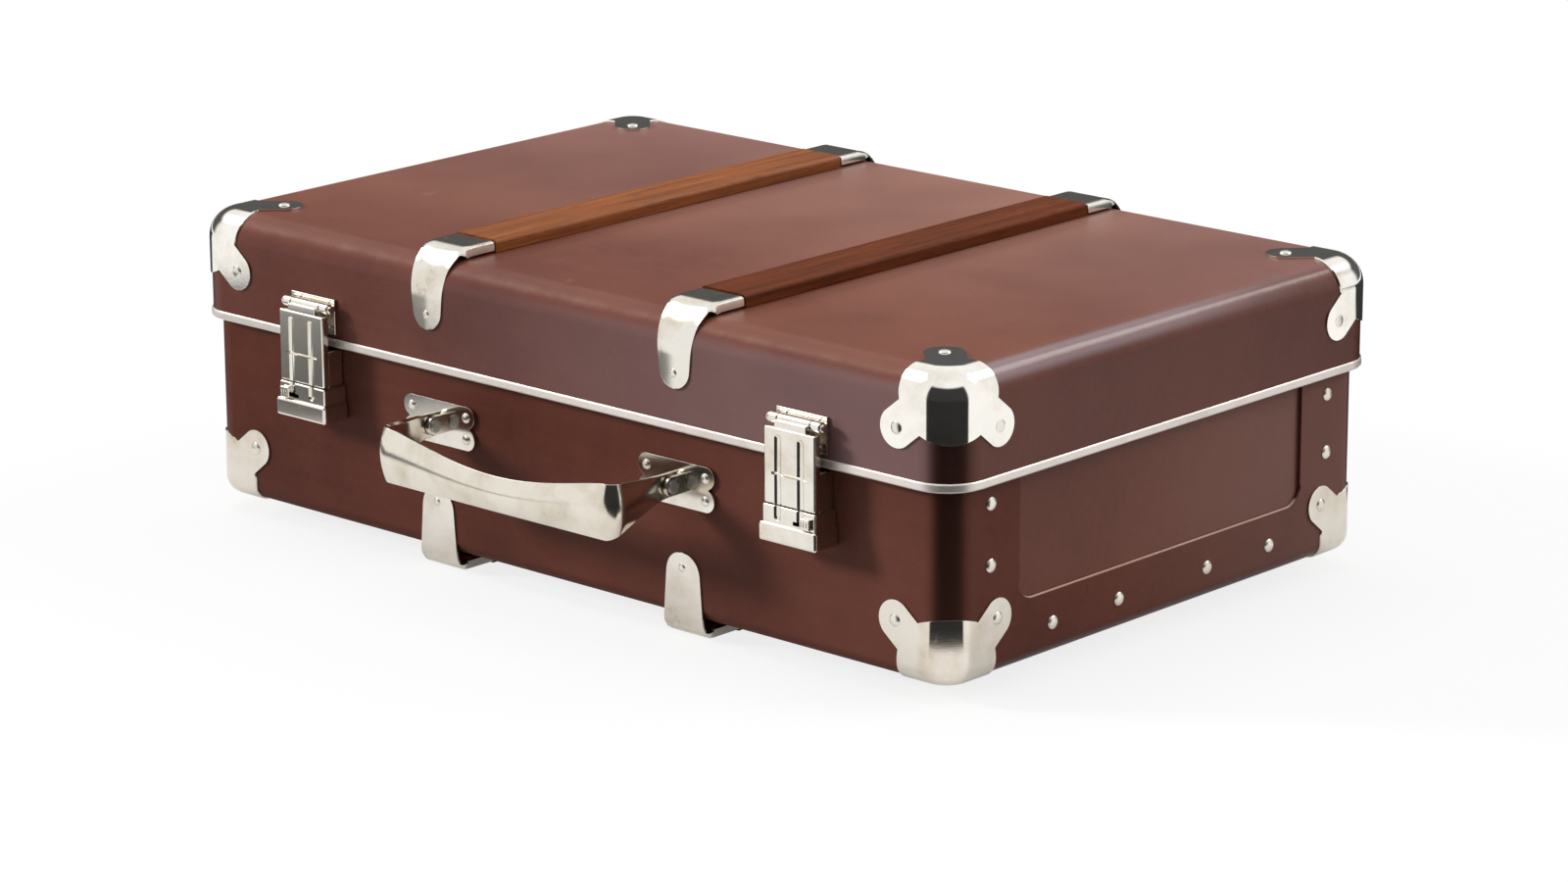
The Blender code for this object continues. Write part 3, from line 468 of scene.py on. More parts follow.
@dataclass(frozen=True)
class NickelFinish(Finish):
    """Warm nickel plate with fine wipe marks, dull spots and faint tarnish."""

    name: str = "nickel_plate"
    slot: str = "nickel_plate"
    bright: Colour = (0.83, 0.79, 0.72)
    warm: Colour = (0.73, 0.67, 0.57)
    tarnish: Colour = (0.44, 0.38, 0.29)
    roughness: float = 0.07
    dulling: float = 1.0
    mark_depth: float = 0.06 * MM

    def mixed(self, board: Board) -> bpy.types.Material:
        """Builds the nickel.

        Args:
            board: the empty node tree.

        Returns:
            The material.
        """
        here = board.place()
        cloud = board.noise(here, 45.0, 4.0, 0.6)
        speck = board.noise(here, 420.0, 3.0, 0.6)
        wipe = board.drawn((160, 160, 2400), (0.5, 0.2, 0.9))
        colour = board.mix(self.bright, self.warm, cloud.step(0.40, 0.68))
        stain = cloud.step(0.58, 0.74) * speck.step(0.42, 0.72)
        colour = board.mix(colour, self.tarnish, stain * 0.55)
        rough = self.roughness + (cloud * 0.10 + wipe * 0.06 + stain * 0.22) * self.dulling
        return board.metal(colour, rough, board.bump(wipe * 0.25 + cloud * 0.9, self.mark_depth, 0.4))


@dataclass(frozen=True)
class BandFinish(Finish):
    """Pale satin metal of the edge band, drawn lengthwise."""

    name: str = "pale_band"
    slot: str = "pale_band"
    pale: Colour = (0.98, 0.90, 0.84)
    dull: Colour = (0.76, 0.68, 0.63)
    roughness: float = 0.28
    metal_share: float = 0.5
    mark_depth: float = 0.08 * MM

    def mixed(self, board: Board) -> bpy.types.Material:
        """Builds the band's metal.

        Args:
            board: the empty node tree.

        Returns:
            The material.
        """
        here = board.place()
        cloud = board.noise(here, 26.0, 4.0, 0.6)
        drawn = board.drawn((30, 30, 3200))
        nick = board.noise(here, 260.0, 2.0, 0.5).step(0.66, 0.76)
        colour = board.mix(self.pale, self.dull, cloud.step(0.45, 0.75) * 0.6 + nick * 0.35)
        rough = self.roughness + drawn * 0.16 + nick * 0.15
        normal = board.bump(drawn * 0.8 + nick * 0.6, self.mark_depth, 0.5)
        return board.metal(colour, rough, normal, self.metal_share)


@dataclass(frozen=True)
class WoodFinish(Finish):
    """Wood with its grain along one axis, plain or varnished."""

    name: str
    slot: str
    dark: Colour
    light: Colour
    pore: Colour
    grain: Sequence[float] = (1.0, 0.035, 1.0)
    rings: float = 150.0
    roughness: float = 0.42
    varnish: float = 0.0
    gloss: float = 0.4
    pore_depth: float = 0.12 * MM

    def mixed(self, board: Board) -> bpy.types.Material:
        """Builds the wood.

        Args:
            board: the empty node tree.

        Returns:
            The material.
        """
        lay = board.place(self.grain)
        figure = board.noise(lay, self.rings, 5.0, 0.55, 1.2)
        ring = board.noise(lay, self.rings * 3.2, 3.0, 0.5, 0.6)
        pores = board.noise(lay, self.rings * 14.0, 2.0, 0.6).step(0.56, 0.70)
        patch = board.noise(board.place(), 18.0, 3.0)
        tone = figure * 0.6 + ring * 0.3 + patch * 0.2
        colour = board.mix(self.dark, self.light, tone.step(0.38, 0.72))
        colour = board.mix(colour, self.pore, pores * 0.6)
        *_, bend = board.facing()
        worn = bend.step(0.05, 0.3) * patch.step(0.44, 0.62)
        sockets = {
            "Base Color": board.mix(colour, self.light, worn * 0.55),
            "Roughness": self.roughness + pores * 0.15 + patch * 0.12 + worn * 0.1,
            "Normal": board.bump(ring * 0.4 - pores * 0.8, self.pore_depth, 0.6),
            "Specular IOR Level": self.gloss,
        }
        if self.varnish:
            sockets.update({"Coat Weight": self.varnish * (1.0 - worn * 0.6), "Coat Roughness": 0.22})
        return board.surface(sockets)


@dataclass(frozen=True)
class PaperFinish(Finish):
    """Lining paper on board: a fine brown check on a laid, slightly foxed sheet."""

    name: str = "lining_paper"
    slot: str = "lining_paper"
    ground: Colour = (0.60, 0.49, 0.35)
    stripe: Colour = (0.40, 0.27, 0.17)
    foxed: Colour = (0.42, 0.30, 0.18)
    pitch: float = 12.5 * MM
    waver: float = 0.6 * MM
    laid_depth: float = 0.12 * MM

    def mixed(self, board: Board) -> bpy.types.Material:
        """Builds the paper.

        Args:
            board: the empty node tree.

        Returns:
            The material.
        """
        here = board.place()
        laid = board.drawn((1600, 120, 900), detail=2.0)
        pulp = board.noise(here, 520.0, 3.0, 0.7)
        x, y, _ = board.axes("Object")
        comb = board.math("PINGPONG", x + pulp * self.waver, self.pitch / 2)
        thin = board.math("PINGPONG", y + pulp * self.waver, self.pitch)
        lines = comb.step(1.1 * MM, 0.6 * MM).most(thin.step(0.8 * MM, 0.4 * MM) * 0.6)
        stain = board.noise(here, 14.0, 4.0, 0.6).step(0.52, 0.78)
        colour = board.mix(self.ground, self.stripe, lines * 0.55)
        return board.surface({
            "Base Color": board.mix(colour, self.foxed, stain * 0.35 + pulp * 0.1),
            "Roughness": 0.78 + pulp * 0.18,
            "Normal": board.bump(laid * 0.6 + pulp * 0.7, self.laid_depth, 0.5),
            "Specular IOR Level": 0.25,
        })


@dataclass(frozen=True)
class SteelFinish(Finish):
    """Plain drawn steel with a grey skin."""

    name: str = "plain_steel"
    slot: str = "plain_steel"
    clean: Colour = (0.56, 0.55, 0.53)
    skin: Colour = (0.30, 0.28, 0.26)
    roughness: float = 0.30
    mark_depth: float = 0.06 * MM

    def mixed(self, board: Board) -> bpy.types.Material:
        """Builds the steel.

        Args:
            board: the empty node tree.

        Returns:
            The material.
        """
        cloud = board.noise(board.place(), 90.0, 4.0, 0.6)
        drawn = board.drawn((60, 1800, 1800))
        colour = board.mix(self.clean, self.skin, cloud.step(0.42, 0.72))
        rough = self.roughness + cloud * 0.2 + drawn * 0.12
        return board.metal(colour, rough, board.bump(drawn * 0.7 + cloud * 0.4, self.mark_depth, 0.5))


# The lid's fibre adds painted sheen along its side edges; the base and its ends carry painted sheen mainly on
# their short ends, growing toward the back.
LID_FIBRE = FibreFinish(bloom_edge=0.9)
BASE_FIBRE = FibreFinish(
    name="brown_fibre_base", deep=(0.082, 0.021, 0.012), body=(0.133, 0.037, 0.023),
    warm=(0.174, 0.056, 0.034), rubbed=(0.20, 0.09, 0.06), roughness=0.38, gloss=0.18,
    bloom=(0.44, 0.24, 0.20), bloom_front=0.04, bloom_end=0.40, raw_edge=True,
)
END_FIBRE = FibreFinish(
    name="brown_fibre_ends", deep=(0.115, 0.032, 0.021), body=(0.170, 0.054, 0.036),
    warm=(0.215, 0.074, 0.049), rubbed=(0.25, 0.12, 0.085), roughness=0.36, gloss=0.30,
    bloom=(0.44, 0.24, 0.20), bloom_end=0.50,
)
NICKEL = NickelFinish()
# The lid's caps get a brighter copy of the nickel: a painted highlight.
BRIGHTENED_CAP_NICKEL = NickelFinish(
    name="cap_nickel", bright=(0.95, 0.92, 0.86), warm=(0.82, 0.77, 0.68), roughness=0.05, dulling=0.45,
)
# The base's caps get a darker copy of the nickel: painted shade from the shaded floor they mirror.
SHADED_BASE_CAP_NICKEL = NickelFinish(
    name="base_cap_nickel", bright=(0.80, 0.75, 0.67), warm=(0.70, 0.63, 0.52), roughness=0.06, dulling=0.6,
)
RIVET_NICKEL = NickelFinish(
    name="rivet_nickel", bright=(0.86, 0.82, 0.75), warm=(0.76, 0.70, 0.60), roughness=0.24,
)
# The handle gets a darker copy of the nickel: painted shade.
SHADED_HANDLE_NICKEL = NickelFinish(
    name="handle_nickel", bright=(0.79, 0.74, 0.65), warm=(0.67, 0.61, 0.50), tarnish=(0.40, 0.34, 0.25),
)
BAND = BandFinish()
SLAT_WOOD = WoodFinish(
    name="varnished_slat", slot="varnished_slat", dark=(0.150, 0.039, 0.009), light=(0.345, 0.107, 0.026),
    pore=(0.090, 0.024, 0.009), varnish=0.08, gloss=0.28,
)
DARK_SLAT_WOOD = WoodFinish(
    name="varnished_slat_dark", slot="varnished_slat", dark=(0.076, 0.018, 0.006),
    light=(0.176, 0.044, 0.013), pore=(0.045, 0.012, 0.005), varnish=0.02, gloss=0.10,
)
FRAME_WOOD = WoodFinish(
    name="frame_wood", slot="frame_wood", dark=(0.36, 0.23, 0.12), light=(0.56, 0.40, 0.24),
    pore=(0.24, 0.14, 0.07), grain=(0.04, 0.04, 1.0), rings=110.0, roughness=0.58,
)
PAPER = PaperFinish()
STEEL = SteelFinish()


def flush(item: bmesh.types.BMFace | bmesh.types.BMEdge, height: float) -> bool:
    """Whether a face or an edge lies level at a height."""
    return all(abs(vert.co.z - height) < ON_FACE for vert in item.verts)


def runs(edge: bmesh.types.BMEdge, axis: int) -> bool:
    """Whether an edge runs along an axis."""
    return abs(edge.verts[0].co[axis] - edge.verts[1].co[axis]) > MM


def creases(shape: Shape, degrees: float) -> list[bmesh.types.BMEdge]:
    """Edges of a shape that fold by more than an angle."""
    limit = math.radians(degrees)
    return [edge for edge in shape.edges if edge.calc_face_angle(0.0) > limit]


def eased_in(share: float) -> float:
    """Soft start and stop of a share from 0 to 1."""
    return share * share * (3 - 2 * share)


def bevelled(shape: Shape, edges: Iterable[bmesh.types.BMEdge], width: float, steps: int) -> None:
    """Rounds edges of a shape.

    Args:
        shape: the shape.
        edges: the edges to round.
        width: the radius on a square edge.
        steps: facets across the rounding.
    """
    bmesh.ops.bevel(
        shape, geom=list(edges), offset=width, offset_type="OFFSET", segments=steps, profile=0.5,
        affect="EDGES", clamp_overlap=True, material=-1,
    )


def block(low: Sequence[float], high: Sequence[float]) -> Shape:
    """Square block between two corners.

    Args:
        low: its lowest corner.
        high: its highest corner.

    Returns:
        The closed shape.
    """
    shape = bmesh.new()
    low, high = Vector(low), Vector(high)
    matrix = Matrix.Translation((low + high) / 2) @ Matrix.Diagonal((*(high - low), 1.0))
    bmesh.ops.create_cube(shape, size=1.0, matrix=matrix)
    return shape


def front_block(centre: float, half: float, outs: Point, heights: Point, round_off: float = 0.0,
                steps: int = 3) -> Shape:
    """Block on the front of the case.

    Args:
        centre: its middle along the case.
        half: half of its width.
        outs: its nearer and farther reach from the middle of the case.
        heights: its lower and upper height.
        round_off: radius of its edges, or nothing for square ones.
        steps: facets across an edge.

    Returns:
        The closed shape.
    """
    shape = block(
        (centre - half, MIDDLE - outs[1], heights[0]), (centre + half, MIDDLE - outs[0], heights[1]),
    )
    if round_off:
        bevelled(shape, list(shape.edges), round_off, steps)
    return shape


def bar(start: Sequence[float], end: Sequence[float], radius: float, round_off: float = 0.4 * MM,
        steps: int = 28, rim_steps: int = 3) -> Shape:
    """Round bar between two points, with its rims rounded off.

    Args:
        start: middle of one end.
        end: middle of the other.
        radius: its radius.
        round_off: radius of its rims.
        steps: facets round the bar.
        rim_steps: facets across a rim.

    Returns:
        The closed shape.
    """
    shape = bmesh.new()
    along = Vector(end) - Vector(start)
    turn = along.to_track_quat("Z", "Y").to_matrix().to_4x4()
    matrix = Matrix.Translation((Vector(start) + Vector(end)) / 2) @ turn
    bmesh.ops.create_cone(
        shape, cap_ends=True, segments=steps, radius1=radius, radius2=radius, depth=along.length,
        matrix=matrix,
    )
    bevelled(shape, creases(shape, 60), round_off, rim_steps)
    return shape


def cross_bar(middle: Vector, reach: float, *sizes: float) -> Shape:
    """Round bar along the case, with a reach to both sides of its middle and the sizes that bar takes."""
    step = Vector((reach, 0, 0))
    return bar(middle - step, middle + step, *sizes)


def stadium(start: Vector, end: Vector, normal: Vector, radius: float, inward: float, outward: float,
            steps: int = 40) -> Shape:
    """Round-ended slab through two points of a face.

    Args:
        start: centre of one round end.
        end: centre of the other.
        normal: direction across the slab.
        radius: half of its width.
        inward: its reach against the normal.
        outward: its reach along the normal.
        steps: facets round both ends.

    Returns:
        The closed shape.
    """
    shape = bmesh.new()
    along = end - start
    axis = normal.normalized()
    first = along.normalized()
    matrix = Matrix((first, axis.cross(first), axis)).transposed().to_4x4()
    bmesh.ops.create_circle(shape, cap_ends=True, segments=steps, radius=radius)
    for vert in shape.verts:
        if vert.co.x > 0:
            vert.co.x += along.length
    bmesh.ops.translate(shape, verts=shape.verts, vec=(0, 0, -inward))
    grown = bmesh.ops.extrude_face_region(shape, geom=list(shape.faces))["geom"]
    lifted = [item for item in grown if isinstance(item, bmesh.types.BMVert)]
    bmesh.ops.translate(shape, verts=lifted, vec=(0, 0, inward + outward))
    bmesh.ops.transform(shape, matrix=Matrix.Translation(start) @ matrix, verts=shape.verts)
    bmesh.ops.recalc_face_normals(shape, faces=shape.faces)
    return shape


def shape_of(mesh: bpy.types.Mesh) -> Shape:
    """Shape of a mesh.

    Args:
        mesh: the mesh, which stays.

    Returns:
        The shape.
    """
    shape = bmesh.new()
    shape.from_mesh(mesh)
    return shape


def merged(mesh: bpy.types.Mesh) -> Shape:
    """Shape of a mesh with its doubles merged.

    Args:
        mesh: the mesh, which stays.

    Returns:
        The shape.
    """
    shape = shape_of(mesh)
    bmesh.ops.remove_doubles(shape, verts=shape.verts, dist=MERGED)
    return shape


def closed_up(shape: Shape, distance: float) -> None:
    """Merges a shape's doubles and turns its faces the same way."""
    bmesh.ops.remove_doubles(shape, verts=shape.verts, dist=distance)
    bmesh.ops.recalc_face_normals(shape, faces=shape.faces)


def joined(*shapes: Shape) -> Shape:
    """Puts several shapes into the first one.

    Args:
        shapes: the shapes; all but the first are used up.

    Returns:
        The first shape.
    """
    for other in shapes[1:]:
        mesh = bpy.data.meshes.new("joining")
        other.to_mesh(mesh)
        other.free()
        shapes[0].from_mesh(mesh)
        bpy.data.meshes.remove(mesh)
    return shapes[0]


def softened(node: str, width: float, steps: int) -> Shape:
    """Merged copy of a CAD node with its creases rounded.

    Args:
        node: the node's name.
        width: radius of the rounding.
        steps: facets across it.

    Returns:
        The shape.
    """
    shape = merged(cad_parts[node].data)
    bmesh.ops.dissolve_limit(shape, angle_limit=math.radians(1.5), verts=shape.verts, edges=shape.edges)
    bevelled(shape, creases(shape, 40), width, steps)
    return shape


def thing(name: str, shape: Shape) -> Piece:
    """Makes an object of a shape.

    Args:
        name: the object's name.
        shape: the shape, which is used up.

    Returns:
        The object.
    """
    mesh = bpy.data.meshes.new(name)
    shape.to_mesh(mesh)
    shape.free()
    made = bpy.data.objects.new(name, mesh)
    bpy.context.scene.collection.objects.link(made)
    return made


def unmade(made: Piece) -> Shape:
    """Takes an object apart again.

    Args:
        made: the object, which is removed.

    Returns:
        Its shape.
    """
    mesh = made.data
    shape = shape_of(mesh)
    bpy.data.objects.remove(made)
    bpy.data.meshes.remove(mesh)
    return shape


def settled(made: Piece) -> Piece:
    """Applies an object's modifiers to its mesh.

    Args:
        made: the object.

    Returns:
        The object.
    """
    bpy.context.view_layer.update()
    graph = bpy.context.evaluated_depsgraph_get()
    mesh = bpy.data.meshes.new_from_object(made.evaluated_get(graph))
    spent = made.data
    made.modifiers.clear()
    made.data = mesh
    bpy.data.meshes.remove(spent)
    return made


def shaped(made: Piece, how: Cut, *tools: Shape) -> Piece:
    """Shapes an object with one tool after another.

    Args:
        made: the object.
        how: what the tools do.
        tools: the tools, which are used up.

    Returns:
        The object.
    """
    for tool in tools:
        helper = thing("tool", tool)
        step = made.modifiers.new("shape", "BOOLEAN")
        step.operation = how.value
        step.solver = "EXACT"
        step.object = helper
        settled(made)
        unmade(helper).free()
    return made


def walled(made: Piece, wall: float, offset: float = -1.0) -> Piece:
    """Gives a sheet its thickness.

    Args:
        made: the sheet.
        wall: the thickness.
        offset: -1 lays it inside the sheet's faces, 0 on both sides of them.

    Returns:
        The object.
    """
    step = made.modifiers.new("wall", "SOLIDIFY")
    step.thickness = wall
    step.offset = offset
    step.use_even_offset = True
    return settled(made)


def eased(made: Piece, width: float, steps: int, degrees: float) -> Piece:
    """Rounds the creases of an object's mesh.

    Args:
        made: the object.
        width: radius of the rounding.
        steps: facets across it.
        degrees: the fold above which an edge is rounded.

    Returns:
        The object.
    """
    shape = merged(made.data)
    bmesh.ops.dissolve_degenerate(shape, dist=MERGED, edges=shape.edges)
    bevelled(shape, creases(shape, degrees), width, steps)
    shape.to_mesh(made.data)
    shape.free()
    return made


def delivered(made: Piece, finish: Finish, body: str, *nodes: str, sharp: float = 38.0) -> None:
    """Dresses a finished piece and sets it on its body.

    Args:
        made: the piece.
        finish: its finish.
        body: the CAD body that carries it.
        nodes: the CAD nodes that it stands for.
        sharp: angle above which edges stay crisp.
    """
    made.data.materials.clear()
    made.data.materials.append(finish.material())
    made.data.shade_smooth()
    made.data.set_sharp_from_angle(angle=math.radians(sharp))
    step = made.modifiers.new("even_normals", "WEIGHTED_NORMAL")
    step.keep_sharp = True
    settled(made)
    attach(made, body)
    if nodes:
        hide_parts(*nodes)
    LOG.info("piece %s on %s: %d faces", made.name, body, len(made.data.polygons))


def dressed(node: str, finish: Finish) -> None:
    """Gives a CAD node that stays in sight its finish.

    Args:
        node: the node's name.
        finish: the finish.
    """
    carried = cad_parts[node]
    carried.data.materials.clear()
    carried.data.materials.append(finish.material())
    LOG.info("node %s keeps its shape", node)


def mirrored(made: Piece, name: str, sign_x: int, sign_y: int) -> Piece:
    """Copy of an object turned over to another corner of the case.

    Args:
        made: the object.
        name: the copy's name.
        sign_x: -1 to turn it over along X.
        sign_y: -1 to turn it over along Y.

    Returns:
        The copy.
    """
    mesh = made.data.copy()
    about = Matrix.Translation((0, MIDDLE, 0))
    mesh.transform(about @ Matrix.Diagonal((sign_x, sign_y, 1, 1)) @ about.inverted())
    if sign_x * sign_y < 0:
        mesh.flip_normals()
    copy = bpy.data.objects.new(name, mesh)
    bpy.context.scene.collection.objects.link(copy)
    return copy


def filleted(points: Sequence[Point], reach: float, steps: int = 6) -> list[Point]:
    """Rounds the inner corners of a flat path.

    Args:
        points: the path's corners.
        reach: how far from a corner its rounding starts.
        steps: pieces in each rounding.

    Returns:
        The rounded path.
    """
    path = [Vector(points[0])]
    for before, corner, after in zip(points, points[1:], points[2:]):
        corner = Vector(corner)
        back = Vector(before) - corner
        ahead = Vector(after) - corner
        start = corner + back.normalized() * min(reach, back.length / 2)
        finish = corner + ahead.normalized() * min(reach, ahead.length / 2)
        for step in range(steps + 1):
            share = step / steps
            path.append(start.lerp(corner, share).lerp(corner.lerp(finish, share), share))
    path.append(Vector(points[-1]))
    return [(point.x, point.y) for point in path]


class Trail:
    """A flat path that is walked by its length."""

    def __init__(self, points: Sequence[Point]) -> None:
        """Measures the path.

        Args:
            points: the path's corners.
        """
        self.points = [Vector(point) for point in points]
        self.marks = [0.0]
        for first, second in zip(self.points, self.points[1:]):
            self.marks.append(self.marks[-1] + (second - first).length)
        self.length = self.marks[-1]

    def at(self, distance: float) -> tuple[Vector, Vector]:
        """Walks a distance along the path.

        Args:
            distance: the distance.

        Returns:
            The point and the direction.
        """
        distance = min(max(distance, 0.0), self.length)
        index = 0
        while index < len(self.points) - 2 and self.marks[index + 1] < distance:
            index += 1
        heading = (self.points[index + 1] - self.points[index]).normalized()
        return self.points[index] + heading * (distance - self.marks[index]), heading


@dataclass(frozen=True)
class Shell:
    """One fibre shell: the CAD node that it stands for, its radii and its wall."""

    half: Half
    node: str
    corner: float
    edge: float
    wall: float

    @property
    def span(self) -> Span:
        """Box of the shell."""
        return Span.of(self.node)

    def pressed(self, grown: float = 0.0, corner_steps: int = 14, edge_steps: int = 10) -> Shape:
        """Box with round upright corners and a round edge about its crown.

        Args:
            grown: how far it stands out from the shell.
            corner_steps: facets round a corner.
            edge_steps: facets round the edge.

        Returns:
            The closed shape.
        """
        span = self.span.grown(grown)
        shape = block(span.low, span.high)
        bevelled(shape, [edge for edge in shape.edges if runs(edge, 2)], self.corner + grown, corner_steps)
        crown = span.corner(1, 1, self.half.value).z
        bevelled(shape, [edge for edge in shape.edges if flush(edge, crown)], self.edge + grown, edge_steps)
        return shape

    def opened(self) -> Piece:
        """Makes the shell with its wall and its open side.

        Returns:
            The shell as an object.
        """
        shape = self.pressed()
        rim = self.span.corner(1, 1, -self.half.value).z
        lost = [face for face in shape.faces if flush(face, rim)]
        bmesh.ops.delete(shape, geom=lost, context="FACES")
        return walled(thing(f"fibre_{self.half.word}", shape), self.wall)


LID_SHELL = Shell(Half.LID, "lid_shell", 20 * MM, 14 * MM, 2 * MM)
BASE_SHELL = Shell(Half.BASE, "base_tray", 15.3 * MM, 8 * MM, 1.6 * MM)


@dataclass
class FibreCase:
    """Pressed fibre lid and folded fibre base with its riveted ends."""

    window_half: float = 104.8 * MM
    window_low: float = 40.5 * MM
    window_corner: float = 10 * MM
    window_over: float = 20 * MM
    chamfer_width: float = 1.25 * MM

    def build(self) -> None:
        """Makes the shells and dresses the end panels."""
        delivered(LID_SHELL.opened(), LID_FIBRE, "lid", "lid_shell")
        made = shaped(BASE_SHELL.opened(), Cut.TAKE, *(self.window(side) for side in Side))
        self.chamfer(made)
        delivered(made, BASE_FIBRE, "base", "base_tray")
        for side in Side:
            dressed(f"base_end_panel_{side.word}", END_FIBRE)

    def window(self, side: Side) -> Shape:
        """Cutter for the opening between the flaps of one short end.

        Args:
            side: left or right.

        Returns:
            The closed shape.
        """
        reach = 2 * BASE_SHELL.wall
        low, high = sorted((side.value * (BASE.high.x - reach), side.value * (BASE.high.x + reach)))
        shape = block(
            (low, MIDDLE - self.window_half, self.window_low),
            (high, MIDDLE + self.window_half, BASE.high.z + self.window_over),
        )
        foot = [edge for edge in shape.edges if flush(edge, self.window_low) and runs(edge, 0)]
        bevelled(shape, foot, self.window_corner, 8)
        return shape

    def chamfer(self, made: Piece) -> None:
        """Breaks the outer edge of the openings in the short ends.

        Args:
            made: the base.
        """
        shape = merged(made.data)
        bevelled(shape, [edge for edge in creases(shape, 60) if self.on_window(edge)], self.chamfer_width, 2)
        shape.to_mesh(made.data)
        shape.free()

    def on_window(self, edge: bmesh.types.BMEdge) -> bool:
        """Tests whether an edge belongs to an opening's outer edge, below the base's rim.

        Args:
            edge: the edge.

        Returns:
            Whether it does.
        """
        below_rim = edge.verts[0].co.z < BASE.high.z - MM
        return below_rim and all(
            abs(vert.co.x) > BASE.high.x - MERGED
            and abs(vert.co.y - MIDDLE) < self.window_half + MM
            and vert.co.z > self.window_low - MM
            for vert in edge.verts
        )


@dataclass
class EdgeBand:
    """Pale metal channel on the lid's lower edge."""

    rounding: float = 0.35 * MM

    def build(self) -> None:
        """Makes the band."""
        made = thing("edge_band", softened("lid_edge_band", self.rounding, 3))
        delivered(made, BAND, "lid", "lid_edge_band")


@dataclass
class Slats:
    """Wooden slats over the lid and runners under the base."""

    end_inset: float = 3 * MM
    rebate: float = 20 * MM
    rebate_depth: float = 2 * MM
    rounding: float = 2.2 * MM

    def build(self) -> None:
        """Makes the four slats."""
        for half, side in product(Half, Side):
            node = f"{half.word}_slat_{side.word}"
            made = thing(f"{half.word}_slat_wood_{side.word}", self.slat(Span.of(node), half))
            delivered(made, SLAT_WOOD if side is Side.LEFT else DARK_SLAT_WOOD, half.word, node)

    def slat(self, span: Span, half: Half) -> Shape:
        """One slat with round long edges and a narrow tenon under each clip.

        Args:
            span: box of the CAD node that it stands for.
            half: lid or base.

        Returns:
            The closed shape.
        """
        step = Vector((0, self.rebate, 0))
        shape = block(span.low + step, span.high - step)
        outer = span.corner(1, 1, half.value).z
        long_edges = [edge for edge in shape.edges if flush(edge, outer) and runs(edge, 1)]
        bevelled(shape, long_edges, self.rounding, 5)
        ends = [face for face in shape.faces if abs(face.normal.y) > 0.9]
        bmesh.ops.inset_region(shape, faces=ends, thickness=self.rebate_depth, use_even_offset=True)
        for face in ends:
            out = Vector((0, math.copysign(self.rebate - self.end_inset, face.normal.y), 0))
            grown = bmesh.ops.extrude_discrete_faces(shape, faces=[face])["faces"]
            bmesh.ops.translate(shape, verts=grown[0].verts, vec=out)
        return shape


@dataclass(frozen=True)
class ClipBend:
    """How a clip bends from the slat down to the wall, and the half width of its tongue's tip."""

    knee_inset: float
    knee_drop: float
    wall_drop: float
    rounding: float
    tip_half: float


CLIP_BENDS = {
    Half.LID: ClipBend(3.4 * MM, 9.0 * MM, 19.5 * MM, 5.0 * MM, 9.5 * MM),
    Half.BASE: ClipBend(0.6 * MM, 5.0 * MM, 9.0 * MM, 2.4 * MM, 10.5 * MM),
}


